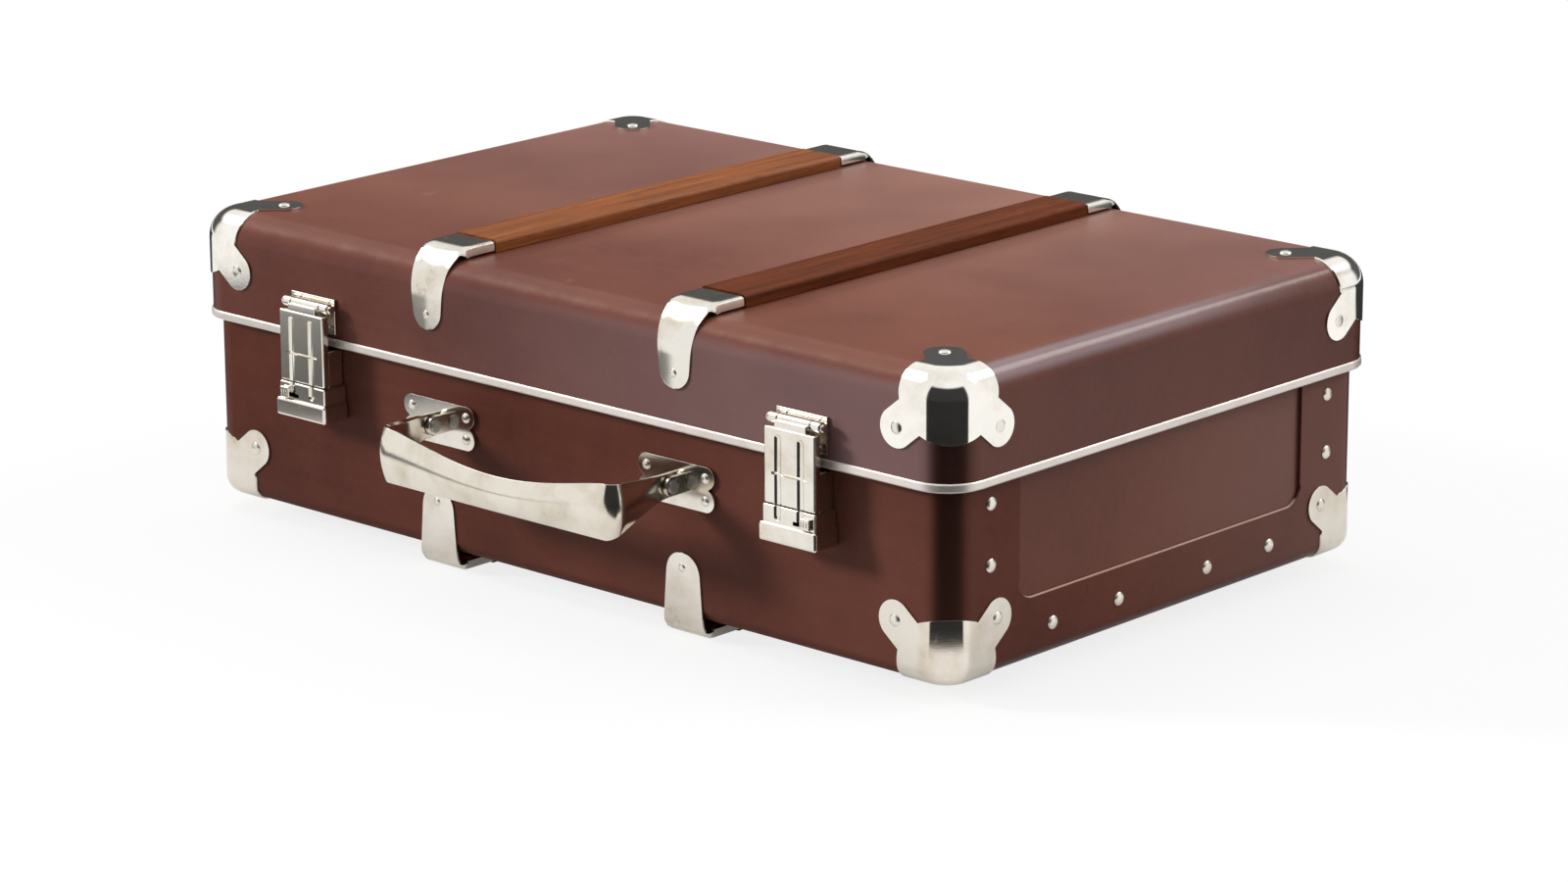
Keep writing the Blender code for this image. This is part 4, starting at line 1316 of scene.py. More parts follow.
@dataclass
class Clips:
    """Nickel clips over the slats' ends, with cheeks beside the slat and a tongue down the wall."""

    sheet: float = 0.9 * MM
    rim: float = 0.28 * MM
    fold: float = 1.6 * MM
    cheek: float = 4.6 * MM
    crown: float = 0.6 * MM
    crown_start: float = 6 * MM
    shoulder: float = 0.6 * MM
    foot_inset: float = 0.8 * MM
    neck: float = 5 * MM
    taper: float = 1.25
    ribs: int = 18
    rows: int = 84
    rivet: float = 2.3 * MM
    rivet_rise: float = 7.5 * MM
    rivet_seat: float = 0.35 * MM

    def build(self, rivets: "Rivets") -> None:
        """Makes the eight clips and names their rivets.

        Args:
            rivets: gathers the rivets.
        """
        for half, side, end in product(Half, Side, End):
            place = f"clip_{end.word}_{side.word}"
            span = Span.of(f"{half.word}_{place}")
            sheet = self.clip(span, Span.of(f"{half.word}_slat_{side.word}"), half, end)
            made = walled(thing(f"{half.word}_slat_{place}", sheet), self.sheet)
            delivered(eased(made, self.rim, 2, 50), NICKEL, half.word, f"{half.word}_{place}")
            tip = span.corner(1, end.value, -half.value)
            out, height = tip.y - end.value * self.rivet_seat, tip.z + half.value * self.rivet_rise
            rivets.add(half.word, Vector((span.centre.x, out, height)), Vector((0, end.value, 0)), self.rivet)

    def clip(self, span: Span, slat: Span, half: Half, end: End) -> Shape:
        """One clip as a bent sheet.

        Args:
            span: box of the CAD node that it stands for.
            slat: box of the slat under it.
            half: lid or base.
            end: front or back of the case.

        Returns:
            The sheet's outer face.
        """
        up, bend = half.value, CLIP_BENDS[half]
        outer, inner = span.corner(1, end.value, up), span.corner(1, -end.value, -up)
        wall, lap = abs(outer.y - MIDDLE), abs(inner.y - MIDDLE)
        shoulder = abs(slat.low.y - MIDDLE) + self.shoulder
        corners = [
            (lap, outer.z), (shoulder, outer.z), (wall - bend.knee_inset, outer.z - up * bend.knee_drop),
            (wall, outer.z - up * bend.wall_drop), (wall, inner.z),
        ]
        trail = Trail(filleted(corners, bend.rounding))
        flat = span.half - self.fold
        fold_length = self.fold * math.pi / 2
        full = flat + fold_length + self.cheek - self.fold
        foot = span.half - self.foot_inset
        lap_length = shoulder - lap

        shape = bmesh.new()
        bmesh.ops.create_grid(shape, x_segments=self.ribs, y_segments=self.rows, size=1.0)
        for vert in shape.verts:
            distance = (vert.co.y + 1) / 2 * trail.length
            width = self.half_width(distance, trail.length, lap_length, full, foot, bend.tip_half)
            lateral = vert.co.x * width
            point, heading = trail.at(distance)
            normal = Vector((-heading.y, heading.x)) * up
            sideways, drop = self.folded(abs(lateral), flat, fold_length)
            swell = self.crown * (1 - min(abs(lateral) / bend.tip_half, 1.0) ** 2)
            swell *= min(max((distance - lap_length) / self.crown_start, 0.0), 1.0)
            point = point - normal * (drop + self.crown - swell)
            vert.co = Vector((
                span.centre.x + math.copysign(sideways, lateral), MIDDLE + end.value * point.x, point.y,
            ))
        closed_up(shape, BENT_MERGED)
        probe = max(shape.faces, key=lambda face: up * face.calc_center_median().z)
        if probe.normal.z * up < 0:
            bmesh.ops.reverse_faces(shape, faces=shape.faces)
        return shape

    def folded(self, lateral: float, flat: float, fold_length: float) -> tuple[float, float]:
        """Where a point of the flat sheet comes to lie once the cheeks are bent.

        Args:
            lateral: distance from the middle line in the flat sheet.
            flat: half width of the part that stays flat.
            fold_length: length of the bend in the flat sheet.

        Returns:
            The distance to the side and the drop below the top.
        """
        if lateral <= flat:
            return lateral, 0.0
        if lateral <= flat + fold_length:
            turn = (lateral - flat) / self.fold
            return flat + self.fold * math.sin(turn), self.fold * (1 - math.cos(turn))
        return flat + self.fold, self.fold + lateral - flat - fold_length

    def half_width(self, distance: float, length: float, lap: float, full: float, foot: float,
                   tip: float) -> float:
        """Half width of the flat sheet at a distance from its inner end.

        Args:
            distance: distance along the clip.
            length: length of the clip.
            lap: length of the part on the slat.
            full: half width there, cheeks included.
            foot: half width where the tongue starts.
            tip: half width at the tongue's round end.

        Returns:
            The half width.
        """
        if distance < lap:
            return full
        narrowed = min((distance - lap) / (length - lap) * self.taper, 1.0)
        tongue = foot + (tip - foot) * narrowed
        width = full + (tongue - full) * eased_in(min((distance - lap) / self.neck, 1.0))
        beyond = distance - (length - tip)
        if beyond > 0:
            width *= math.sqrt(max(1 - (beyond / tip) ** 2, 0.0))
        return width


@dataclass
class CornerCaps:
    """Three-lobed nickel caps on the eight corners."""

    gap: float = 0.1 * MM
    sheet: float = 0.75 * MM
    rim: float = 0.22 * MM
    lobe: float = 32 * MM
    lobe_rise: float = 27.5 * MM
    lobe_radius: float = 9.5 * MM
    lobe_over: float = 4 * MM
    ball: float = 9 * MM
    ball_radius: float = 24 * MM
    rivet: float = 3.1 * MM
    rivet_height: float = 1.1 * MM
    side_rivet_height: float = 0.42 * MM
    steps: tuple[int, int] = (20, 14)

    def build(self, rivets: "Rivets") -> None:
        """Makes the caps and names their rivets.

        Args:
            rivets: gathers the rivets.
        """
        for shell, finish in ((LID_SHELL, BRIGHTENED_CAP_NICKEL), (BASE_SHELL, SHADED_BASE_CAP_NICKEL)):
            row = shell.half.word
            pattern = self.cap(shell)
            for side, end in product(Side, End):
                made = mirrored(pattern, f"{row}_corner_cap_{end.word}_{side.word}", side.value, -end.value)
                delivered(made, finish, row, f"{row}_corner_{end.word}_{side.word}", sharp=50)
                self.rivet_lobes(rivets, shell, side, end)
            unmade(pattern).free()

    def cap(self, shell: Shell) -> Piece:
        """Cap of a shell's front right corner.

        Args:
            shell: the shell.

        Returns:
            The cap as an object.
        """
        made = thing("cap", shell.pressed(self.gap + self.sheet, *self.steps))
        tip, inward = self.tip(shell, Side.RIGHT, End.FRONT)
        ball = bmesh.new()
        bmesh.ops.create_uvsphere(
            ball, u_segments=64, v_segments=32, radius=self.ball_radius,
            matrix=Matrix.Translation(tip + inward * self.ball),
        )
        cutter = thing("cutter", ball)
        depth = self.lobe - self.lobe_radius
        for normal, flat in self.lobes(inward):
            lobe = stadium(tip + flat * self.ball, tip + self.reach(flat), normal, self.lobe_radius, depth,
                           self.lobe_over, 64)
            shaped(cutter, Cut.JOIN, lobe)
        shaped(made, Cut.KEEP, unmade(cutter))
        shaped(made, Cut.TAKE, shell.pressed(self.gap, *self.steps))
        return eased(made, self.rim, 2, 55)

    @staticmethod
    def tip(shell: Shell, side: Side, end: End) -> tuple[Vector, Vector]:
        """A shell's corner before it was rounded, and the way from there into the shell."""
        signs = (side.value, end.value, shell.half.value)
        return shell.span.corner(*signs), -Vector(signs)

    @staticmethod
    def lobes(inward: Vector) -> list[tuple[Vector, Vector]]:
        """Ways of a cap's three lobes.

        Args:
            inward: way from the corner into the shell.

        Returns:
            For each lobe, the way out of its face and the way along it.
        """
        ways = []
        for axis in range(3):
            normal = Vector((0, 0, 0))
            normal[axis] = -inward[axis]
            ways.append((normal, inward + normal))
        return ways

    def reach(self, flat: Vector) -> Vector:
        """Way from the corner to the middle of a lobe's round end."""
        return Vector((flat.x * self.lobe, flat.y * self.lobe, flat.z * self.lobe_rise))

    def rivet_lobes(self, rivets: "Rivets", shell: Shell, side: Side, end: End) -> None:
        """Names the rivet in each lobe of one cap; those on the lid's short sides are flat.

        Args:
            rivets: gathers the rivets.
            shell: the shell under the cap.
            side: left or right.
            end: front or back.
        """
        tip, inward = self.tip(shell, side, end)
        for normal, flat in self.lobes(inward):
            low = shell.half is Half.LID and normal.x
            spot = tip + self.reach(flat) + normal * (self.gap + self.sheet)
            height = self.side_rivet_height if low else self.rivet_height
            rivets.add(shell.half.word, spot, normal, self.rivet, height)


@dataclass
class Rivets:
    """Domed rivet heads, gathered body by body, and those of the base's short ends."""

    tab_out: float = 125 * MM
    tab_heights: Point = (62 * MM, 91 * MM)
    flap_outs: Point = (33 * MM, 81 * MM)
    flap_height: float = 25 * MM
    end_radius: float = 3.4 * MM
    end_height: float = 1.5 * MM
    profile: Sequence[Point] = (
        (1.0, -0.35), (1.0, 0.12), (0.93, 0.34), (0.78, 0.62), (0.55, 0.85), (0.28, 0.97), (0.0, 1.0),
    )
    steps: int = 18
    spots: dict[str, list[tuple[Vector, Vector, float, float]]] = field(default_factory=dict)

    def add(self, body: str, spot: Vector, normal: Vector, radius: float, height: float = 1.1 * MM) -> None:
        """Names one rivet.

        Args:
            body: the CAD body that carries it.
            spot: the middle of its seat.
            normal: the direction in which it stands.
            radius: its head's radius.
            height: its head's height.
        """
        self.spots.setdefault(body, []).append((spot, normal, radius, height))

    def ends(self) -> None:
        """Names the eight rivets of each short end of the base."""
        near, far = self.flap_outs
        places = [(sign * self.tab_out, height) for sign in BOTH for height in self.tab_heights]
        places += [(out, self.flap_height) for out in (-far, -near, near, far)]
        for side in Side:
            wall = BASE.corner(side.value, 1, 1).x
            for out, height in places:
                spot = Vector((wall, MIDDLE + out, height))
                self.add("base", spot, Vector((side.value, 0, 0)), self.end_radius, self.end_height)

    def head(self, spot: Vector, normal: Vector, radius: float, height: float) -> Shape:
        """One domed head with a thin skirt.

        Args:
            spot: the middle of its seat.
            normal: the direction in which it stands.
            radius: its radius.
            height: its height.

        Returns:
            The closed shape.
        """
        shape = bmesh.new()
        verts = [shape.verts.new((radius * out, 0, height * rise)) for out, rise in self.profile]
        edges = [shape.edges.new(pair) for pair in zip(verts, verts[1:])]
        bmesh.ops.spin(
            shape, geom=verts + edges, cent=(0, 0, 0), axis=(0, 0, 1), angle=2 * math.pi, steps=self.steps,
            use_merge=True,
        )
        bmesh.ops.remove_doubles(shape, verts=shape.verts, dist=ON_FACE)
        bmesh.ops.holes_fill(shape, edges=shape.edges, sides=0)
        bmesh.ops.recalc_face_normals(shape, faces=shape.faces)
        turn = normal.to_track_quat("Z", "Y").to_matrix().to_4x4()
        bmesh.ops.transform(shape, matrix=Matrix.Translation(spot) @ turn, verts=shape.verts)
        return shape

    def build(self) -> None:
        """Makes one piece of rivet heads for each body."""
        for body, spots in self.spots.items():
            heads = [self.head(*spot) for spot in spots]
            delivered(thing(f"{body}_rivets", joined(*heads)), RIVET_NICKEL, body, sharp=60)


@dataclass
class Handle:
    """Bent sheet handle with its brackets and pins."""

    sheet: float = 2.4 * MM
    rim: float = 0.95 * MM
    inset: float = 0.02 * MM
    bend: float = 7.5 * MM
    bend_steps: int = 10
    eye: float = 5.8 * MM
    dish: float = 2.6 * MM
    dish_start: float = 12 * MM
    dish_rise: float = 20 * MM
    grip_low: float = 55 * MM
    grip_high: float = 81.5 * MM
    grip_dip: float = 10 * MM
    pin: float = 2 * MM
    pin_rim: float = 0.7 * MM
    pin_head: float = 1.6
    pin_head_length: float = 1.0 * MM
    pin_head_rim: float = 0.6 * MM
    eye_play: float = 0.3 * MM
    lug_play: float = 0.15 * MM
    plate: float = 1.4 * MM
    plate_rim: float = 0.4 * MM
    plate_inset: float = 0.8 * MM
    waist_over: float = 2 * MM
    lug: float = 2.2 * MM
    lug_gap: float = 0.5 * MM
    lug_radius: float = 4.8 * MM
    lug_rim: float = 0.5 * MM
    behind: float = 20 * MM
    rivet: float = 2.5 * MM
    rivet_height: float = 1.3 * MM
    rows: int = 10
    steps: int = 150

    def build(self, rivets: Rivets) -> None:
        """Makes the handle, its brackets and its pins.

        Args:
            rivets: gathers the rivets.
        """
        made = walled(thing("handle_sheet", self.sheet_shape()), self.sheet, 0.0)
        eased(made, self.rim, 4, 50)
        for side in Side:
            bore = cross_bar(self.pivot(side).centre, 3 * self.sheet, self.pin + self.eye_play)
            shaped(made, Cut.TAKE, bore)
        delivered(made, SHADED_HANDLE_NICKEL, "handle", "handle_grip", sharp=50)
        for side in Side:
            self.bracket(side, rivets)
            self.rod(side)
            dressed(f"handle_backing_{side.word}", STEEL)

    @staticmethod
    def pivot(side: Side) -> Span:
        """Box of one pin."""
        return Span.of(f"handle_pin_{side.word}")

    def rod(self, side: Side) -> None:
        """Makes one pin with a head at each end.

        Args:
            side: left or right.
        """
        span = self.pivot(side)
        middle = span.centre
        ends = [Vector((x, middle.y, middle.z)) for x in (span.low.x, span.high.x)]
        made = thing(f"handle_pivot_{side.word}", bar(ends[0], ends[1], self.pin, self.pin_rim))
        for end, step in zip(ends, (1, -1)):
            inner = end + Vector((step * self.pin_head_length, 0, 0))
            shaped(made, Cut.JOIN, bar(end, inner, self.pin_head * self.pin, self.pin_head_rim))
        delivered(made, STEEL, "base", f"handle_pin_{side.word}")

    def bracket(self, side: Side, rivets: Rivets) -> None:
        """Makes one four-lobed bracket with its two lugs and names its rivets.

        Args:
            side: left or right.
            rivets: gathers the rivets.
        """
        node = f"handle_bracket_{side.word}"
        span = Span.of(node)
        pivot = self.pivot(side).centre
        lobe = (span.high.z - span.low.z) / 4
        reach = span.half - lobe - self.plate_inset
        wall = span.high.y
        rows = []
        for rise in BOTH:
            ends = [Vector((pivot.x + step * reach, wall, pivot.z + rise * lobe)) for step in BOTH]
            rows.append(stadium(ends[0], ends[1], FORWARD, lobe, 0.0, self.plate, 48))
            for end in ends:
                rivets.add("base", end + FORWARD * self.plate, FORWARD, self.rivet, self.rivet_height)
        made = thing(f"handle_plate_{side.word}", rows[0])
        half = reach + self.waist_over
        waist = block(
            (pivot.x - half, wall - self.plate, pivot.z - lobe), (pivot.x + half, wall, pivot.z + lobe),
        )
        eased(shaped(made, Cut.JOIN, rows[1], waist), self.plate_rim, 3, 50)
        for step in BOTH:
            near = pivot.x + step * (self.sheet / 2 + self.lug_gap)
            seat, eye = (Vector((near, y, pivot.z)) for y in (wall - self.plate / 2, pivot.y))
            lug = stadium(seat, eye, Vector((step, 0, 0)), self.lug_radius, 0.0, self.lug)
            bevelled(lug, creases(lug, 60), self.lug_rim, 3)
            shaped(made, Cut.JOIN, lug)
        behind = block((span.low.x, wall, span.low.z), (span.high.x, wall + self.behind, span.high.z))
        shaped(made, Cut.TAKE, behind, cross_bar(pivot, 4 * self.lug, self.pin + self.lug_play))
        delivered(made, NICKEL, "base", node)

    def sheet_shape(self) -> Shape:
        """Middle face of the handle's sheet, from one eye round the grip to the other.

        Returns:
            The open sheet.
        """
        span = Span.of("handle_grip")
        pivot = self.pivot(Side.RIGHT).centre
        cheek = span.high.x - self.sheet / 2
        front = span.low.y + self.sheet / 2 + self.inset
        eye_back = pivot.y + self.eye
        bend_out = front + self.bend
        turns = [math.pi / 2 * step / self.bend_steps for step in range(1, self.bend_steps + 1)]
        arc = [
            (cheek - self.bend + self.bend * math.cos(turn), bend_out - self.bend * math.sin(turn))
            for turn in turns
        ]
        half = [(cheek, eye_back), (cheek, bend_out)] + arc
        trail = Trail(half + [(-x, y) for x, y in half[::-1]])
        straight = eye_back - bend_out
        bend_length = self.bend * math.pi / 2
        shape = bmesh.new()
        bmesh.ops.create_grid(shape, x_segments=self.steps, y_segments=self.rows, size=1.0)
        for vert in shape.verts:
            distance = (vert.co.x + 1) / 2 * trail.length
            share = (vert.co.y + 1) / 2
            point, heading = trail.at(distance)
            reach = min(distance, trail.length - distance)
            low, high = self.edges(reach, straight, bend_length, trail.length / 2, pivot.z)
            dished = min(max((reach - self.dish_start) / self.dish_rise, 0.0), 1.0)
            inward = Vector((heading.y, -heading.x)) * self.dish * (2 * share - 1) ** 2 * dished
            vert.co = Vector((point.x + inward.x, point.y + inward.y, low + (high - low) * share))
        closed_up(shape, BENT_MERGED)
        return shape

    def edges(self, reach: float, straight: float, bend: float, middle: float,
              pivot: float) -> tuple[float, float]:
        """Lower and upper edge of the sheet.

        Args:
            reach: distance from the nearer end along the sheet.
            straight: length of the cheek.
            bend: length of the bend.
            middle: half length of the sheet.
            pivot: height of the pin.

        Returns:
            The two heights.
        """
        if reach < self.eye:
            rise = math.sqrt(max(self.eye ** 2 - (self.eye - reach) ** 2, 0.0))
            return pivot - rise, pivot + rise
        soft = eased_in(min((reach - self.eye) / (straight + bend - self.eye), 1.0))
        low = pivot - self.eye + (self.grip_low - pivot + self.eye) * soft
        high = pivot + self.eye + (self.grip_high - pivot - self.eye) * soft
        along = max((reach - straight - bend) / (middle - straight - bend), 0.0)
        return low, high - self.grip_dip * math.sin(along * math.pi / 2) ** 1.2


@dataclass
class Latch:
    """One hasp on the lid with its plate and pin, and its lock case on the base with the sliding bolt."""

    side: Side
    sheet: float = 1.2 * MM
    front: float = 1.9 * MM
    hasp_rim: float = 0.9 * MM
    fine_rim: float = 0.3 * MM
    knuckle_gap: float = 0.3 * MM
    groove: float = 2.8 * MM
    groove_depth: float = 1.0 * MM
    groove_place: float = 6.9 * MM
    groove_rim: float = 2.6 * MM
    groove_stop: float = 2.2 * MM
    groove_over: float = 5 * MM
    cross: float = 0.75 * MM
    cross_depth: float = 1.1 * MM
    cross_height: float = 96.5 * MM
    cross_inset: float = 4.6 * MM
    knuckle: float = 2.8 * MM
    middle: float = 9.9 * MM
    neck_inset: float = 0.2 * MM
    neck_rise: float = 0.4 * MM
    neck_gap: float = 0.6 * MM
    neck_rim: float = 0.5 * MM
    pin: float = 1.3 * MM
    pin_over: float = 0.2 * MM
    hasp_play: float = 0.2 * MM
    plate_play: float = 0.1 * MM
    knob: float = 2.2 * MM
    knob_length: float = 1.7 * MM
    knob_rim: float = 1.0 * MM
    knob_seat: float = 0.1 * MM
    staple_half: float = 1.2 * MM
    staple_rise: float = 3.5 * MM
    staple_height: float = 10 * MM
    staple_eye: float = 2.1 * MM
    staple_eye_out: float = 2.6 * MM
    staple_eye_reach: float = 4 * MM
    plate_top: float = 125.4 * MM
    plate_rim: float = 0.4 * MM
    rivet: float = 1.9 * MM
    rivet_height: float = 0.8 * MM
    rivet_out: float = 10 * MM
    rivet_rise: float = 4.2 * MM
    lock_face: float = 1.6 * MM
    lock_inset: float = 1.4 * MM
    lock_rise: float = 0.6 * MM
    lock_rim: float = 0.8 * MM
    lock_gap: float = 0.5 * MM
    foot: float = 9.3 * MM
    foot_rim: float = 1.5 * MM
    foot_gap: float = 0.6 * MM
    shelf_inset: float = 3.5 * MM
    shelf_rim: float = 0.6 * MM
    room_inset: float = 5 * MM
    notch_half: float = 4 * MM
    arm_half: float = 1.5 * MM
    arm_wide: float = 1.7 * MM
    arm_drop: float = 1.4 * MM
    arm_inset: float = 1.8 * MM
    bolt: float = 1.47 * MM
    bolt_rim: float = 0.5 * MM
    bolt_tip: float = 2.2 * MM
    travel: float = 7 * MM
    slot: float = 0.9 * MM
    slot_play: float = 0.2 * MM
    thumb_neck: float = 1.2 * MM
    thumb_neck_out: float = 0.9 * MM
    thumb_rise: float = 2.4 * MM
    thumb_half: float = 3.1 * MM
    thumb_outs: Point = (0.3 * MM, 1.9 * MM)
    thumb_gap: float = 0.4 * MM
    thumb_rim: float = 0.6 * MM
    thumb_over: float = 4.0 * MM
    rib: float = 0.62 * MM
    rib_pitch: float = 1.6 * MM
    rib_out: float = 2.3 * MM
    rib_heights: Point = (-0.2 * MM, 2.8 * MM)

    def build(self, rivets: Rivets) -> None:
        """Makes the latch.

        Args:
            rivets: gathers the rivets.
        """
        self.hasp()
        self.hasp_plate(rivets)
        self.hasp_pin()
        self.lock_case()
        self.lock_slide()

    def span(self, stem: str) -> Span:
        """Box of one of the latch's CAD nodes."""
        return Span.of(f"{stem}_{self.side.word}")

    def made(self, stem: str, shape: Shape) -> Piece:
        """Starts the piece that stands for one of the latch's CAD nodes."""
        return thing(f"latch_{stem}_{self.side.word}", shape)

    @property
    def axis(self) -> Vector:
        """Middle of the hasp's pin."""
        return self.span("hasp_pin").centre

    @property
    def face(self) -> float:
        """Reach of the lock case's face from the middle of the case."""
        return MIDDLE - self.span("lock_case").low.y - self.lock_face

    @property
    def lock_top(self) -> float:
        """Top of the lock case's face, just below the hasp."""
        return self.span("hasp").low.z - self.lock_gap

    @property
    def arm(self) -> float:
        """Middle of the bolt's arm along the case."""
        reach = 2 * self.span("lock_slide").half - self.arm_inset
        return self.span("lock_case").centre.x + self.side.value * reach

    @property
    def thumb_height(self) -> float:
        """Height of the slot in which the thumb piece runs."""
        return (self.span("lock_case").low.z + self.lock_top) / 2 + self.thumb_rise

    def grooves(self, centre: float, face: float, heights: Point) -> list[Shape]:
        """Cutters for the two hollow grooves beside the middle rib.

        Args:
            centre: middle of the latch along the case.
            face: reach of the face that they run in.
            heights: their lower and upper end.

        Returns:
            One cutter for each groove.
        """
        y = MIDDLE - face - self.groove + self.groove_depth
        places = [centre + step * self.groove_place for step in BOTH]
        return [
            bar((x, y, heights[0]), (x, y, heights[1]), self.groove, self.groove_rim, 40, 6) for x in places
        ]

    def hasp(self) -> None:
        """Makes the dished hasp with its knuckle and staple."""
        span, axis = self.span("hasp"), self.axis
        centre, half, foot = span.centre.x, span.half, span.low.z
        face, axis_out = MIDDLE - span.low.y, MIDDLE - axis.y
        back = axis_out + MM
        top = axis.z - self.knuckle - self.knuckle_gap
        made = self.made("hasp", front_block(centre, half, (back, face), (foot, top), self.hasp_rim, 4))
        run = (foot - self.groove_over, top - self.groove_stop)
        cross = Vector((centre, MIDDLE - face - self.cross + self.cross_depth, self.cross_height))
        hollow = front_block(
            centre, half - self.sheet, (back - MM, face - self.front), (foot + self.sheet, top - self.sheet))
        shaped(
            made, Cut.TAKE, *self.grooves(centre, face, run),
            cross_bar(cross, half - self.cross_inset, self.cross, self.fine_rim, 24), hollow,
        )
        neck = front_block(
            centre, self.middle - self.neck_inset,
            (axis_out + self.pin + self.neck_gap, face - self.neck_rim),
            (top - self.sheet, axis.z + self.neck_rise), self.neck_rim,
        )
        barrel = cross_bar(Vector((centre, axis.y, axis.z)), self.middle, self.knuckle)
        low = foot + self.staple_rise
        staple_out = MIDDLE - span.high.y
        staple = front_block(centre, self.staple_half, (staple_out, face - self.front / 2),
                             (low, low + self.staple_height), self.fine_rim)
        shaped(made, Cut.JOIN, neck, barrel, staple)
        eye = Vector((centre, MIDDLE - staple_out - self.staple_eye_out, low + self.staple_height / 2))
        shaped(
            made, Cut.TAKE, cross_bar(eye, self.staple_eye_reach, self.staple_eye),
            cross_bar(axis, half, self.pin + self.hasp_play),
        )
        node = f"hasp_{self.side.word}"
        delivered(made, NICKEL, node, node)

    def hasp_plate(self, rivets: Rivets) -> None:
        """Makes the hasp plate with its outer knuckles and names its rivets.

        Args:
            rivets: gathers the rivets.
        """
        span, axis = self.span("hasp_plate"), self.axis
        centre, half = span.centre.x, span.half
        wall = MIDDLE - span.high.y
        outer = wall + self.sheet
        plate = front_block(centre, half, (wall, outer), (span.low.z, self.plate_top), self.plate_rim)
        made = self.made("hasp_plate", plate)
        for step in BOTH:
            near, far = sorted((centre + step * (self.middle + self.knuckle_gap), centre + step * half))
            web = front_block((near + far) / 2, (far - near) / 2, (wall + self.sheet / 2, MIDDLE - axis.y),
                              (axis.z - self.knuckle / 2, axis.z + self.knuckle / 2))
            shaped(made, Cut.JOIN, web, bar((near, axis.y, axis.z), (far, axis.y, axis.z), self.knuckle))
            spot = Vector((centre + step * self.rivet_out, MIDDLE - outer, span.low.z + self.rivet_rise))
            rivets.add("lid", spot, FORWARD, self.rivet, self.rivet_height)
        shaped(made, Cut.TAKE, cross_bar(axis, 2 * half, self.pin + self.plate_play))
        delivered(made, NICKEL, "lid", f"hasp_plate_{self.side.word}")

    def hasp_pin(self) -> None:
        """Makes the hasp's pin with a knob at each end."""
        axis, half = self.axis, self.span("hasp_plate").half
        made = thing(f"latch_pin_{self.side.word}", cross_bar(axis, half + self.pin_over, self.pin))
        for step in BOTH:
            seat = axis + Vector((step * (half + self.knob_seat), 0, 0))
            tip = seat + Vector((step * self.knob_length, 0, 0))
            shaped(made, Cut.JOIN, bar(seat, tip, self.knob, self.knob_rim, 28, 5))
        delivered(made, NICKEL, "lid", f"hasp_pin_{self.side.word}")

    def lock_case(self) -> None:
        """Makes the lock case: shelf behind the hasp, grooved face and a proud foot."""
        span = self.span("lock_case")
        centre, half, low, high = span.centre.x, span.half, span.low.z, span.high.z
        wall, outer = MIDDLE - span.high.y, MIDDLE - span.low.y
        face, top = self.face, self.lock_top
        body = front_block(
            centre, half - self.lock_inset, (wall, face), (low + self.lock_rise, top), self.lock_rim, 4)
        made = self.made("lock_case", body)
        foot = front_block(centre, half, (wall, outer), (low, low + self.foot), self.foot_rim, 5)
        shaped(made, Cut.JOIN, foot)
        run = (low + self.foot + self.foot_gap, top + self.groove_over)
        shaped(made, Cut.TAKE, *self.grooves(centre, face, run))
        shelf_out = MIDDLE - self.axis.y + self.lock_gap
        shelf = front_block(
            centre, half - self.shelf_inset, (wall, shelf_out), (top - MM, high), self.shelf_rim)
        shaped(made, Cut.JOIN, shelf)
        inside = half - self.room_inset
        near, far = sorted((
            self.arm + self.side.value * self.arm_half,
            self.arm - self.side.value * (self.arm_half + self.travel),
        ))
        height = self.thumb_height
        shaped(
            made, Cut.TAKE,
            front_block(centre, inside, (wall - MM, face - self.front), (low + self.sheet, top - self.sheet)),
            front_block(centre, inside, (wall - MM, shelf_out - self.sheet),
                        (low + 2 * self.sheet, high - self.sheet)),
            front_block(centre, self.notch_half, (wall + MM, outer), (top + MM, high + MM)),
            front_block((near + far) / 2, (far - near) / 2, (face - 3 * self.front, outer + MM),
                        (height - self.slot, height + self.slot)),
        )
        delivered(made, NICKEL, "base", f"lock_case_{self.side.word}")

    def lock_slide(self) -> None:
        """Makes the bolt with its arm and ribbed thumb piece."""
        span, case = self.span("lock_slide"), self.span("lock_case")
        arm, height, face = self.arm, self.thumb_height, self.face
        out = MIDDLE - span.high.y + self.arm_half
        made = self.made("lock_slide", front_block(
            arm, self.arm_wide, (out - self.arm_half, out + self.arm_half),
            (height - self.arm_drop, span.high.z), self.fine_rim))
        start = (arm, MIDDLE - out, span.high.z - self.arm_half)
        tip = (case.centre.x + self.side.value * self.bolt_tip, *start[1:])
        play = self.slot - self.slot_play
        neck = front_block(
            arm, self.thumb_neck, (out, face + self.thumb_neck_out), (height - play, height + play))
        thumb = thing("thumb", front_block(
            arm, self.thumb_half, (face + self.thumb_outs[0], face + self.thumb_outs[1]),
            (case.low.z + self.foot + self.thumb_gap, height + self.thumb_over), self.thumb_rim))
        for step in (-1, 0, 1):
            ends = [
                (arm + step * self.rib_pitch, MIDDLE - face - self.rib_out, height + rise)
                for rise in self.rib_heights
            ]
            shaped(thumb, Cut.TAKE, bar(*ends, self.rib, steps=16))
        shaped(made, Cut.JOIN, bar(start, tip, self.bolt, self.bolt_rim), neck, unmade(thumb))
        node = f"lock_slide_{self.side.word}"
        delivered(made, NICKEL, node, node)


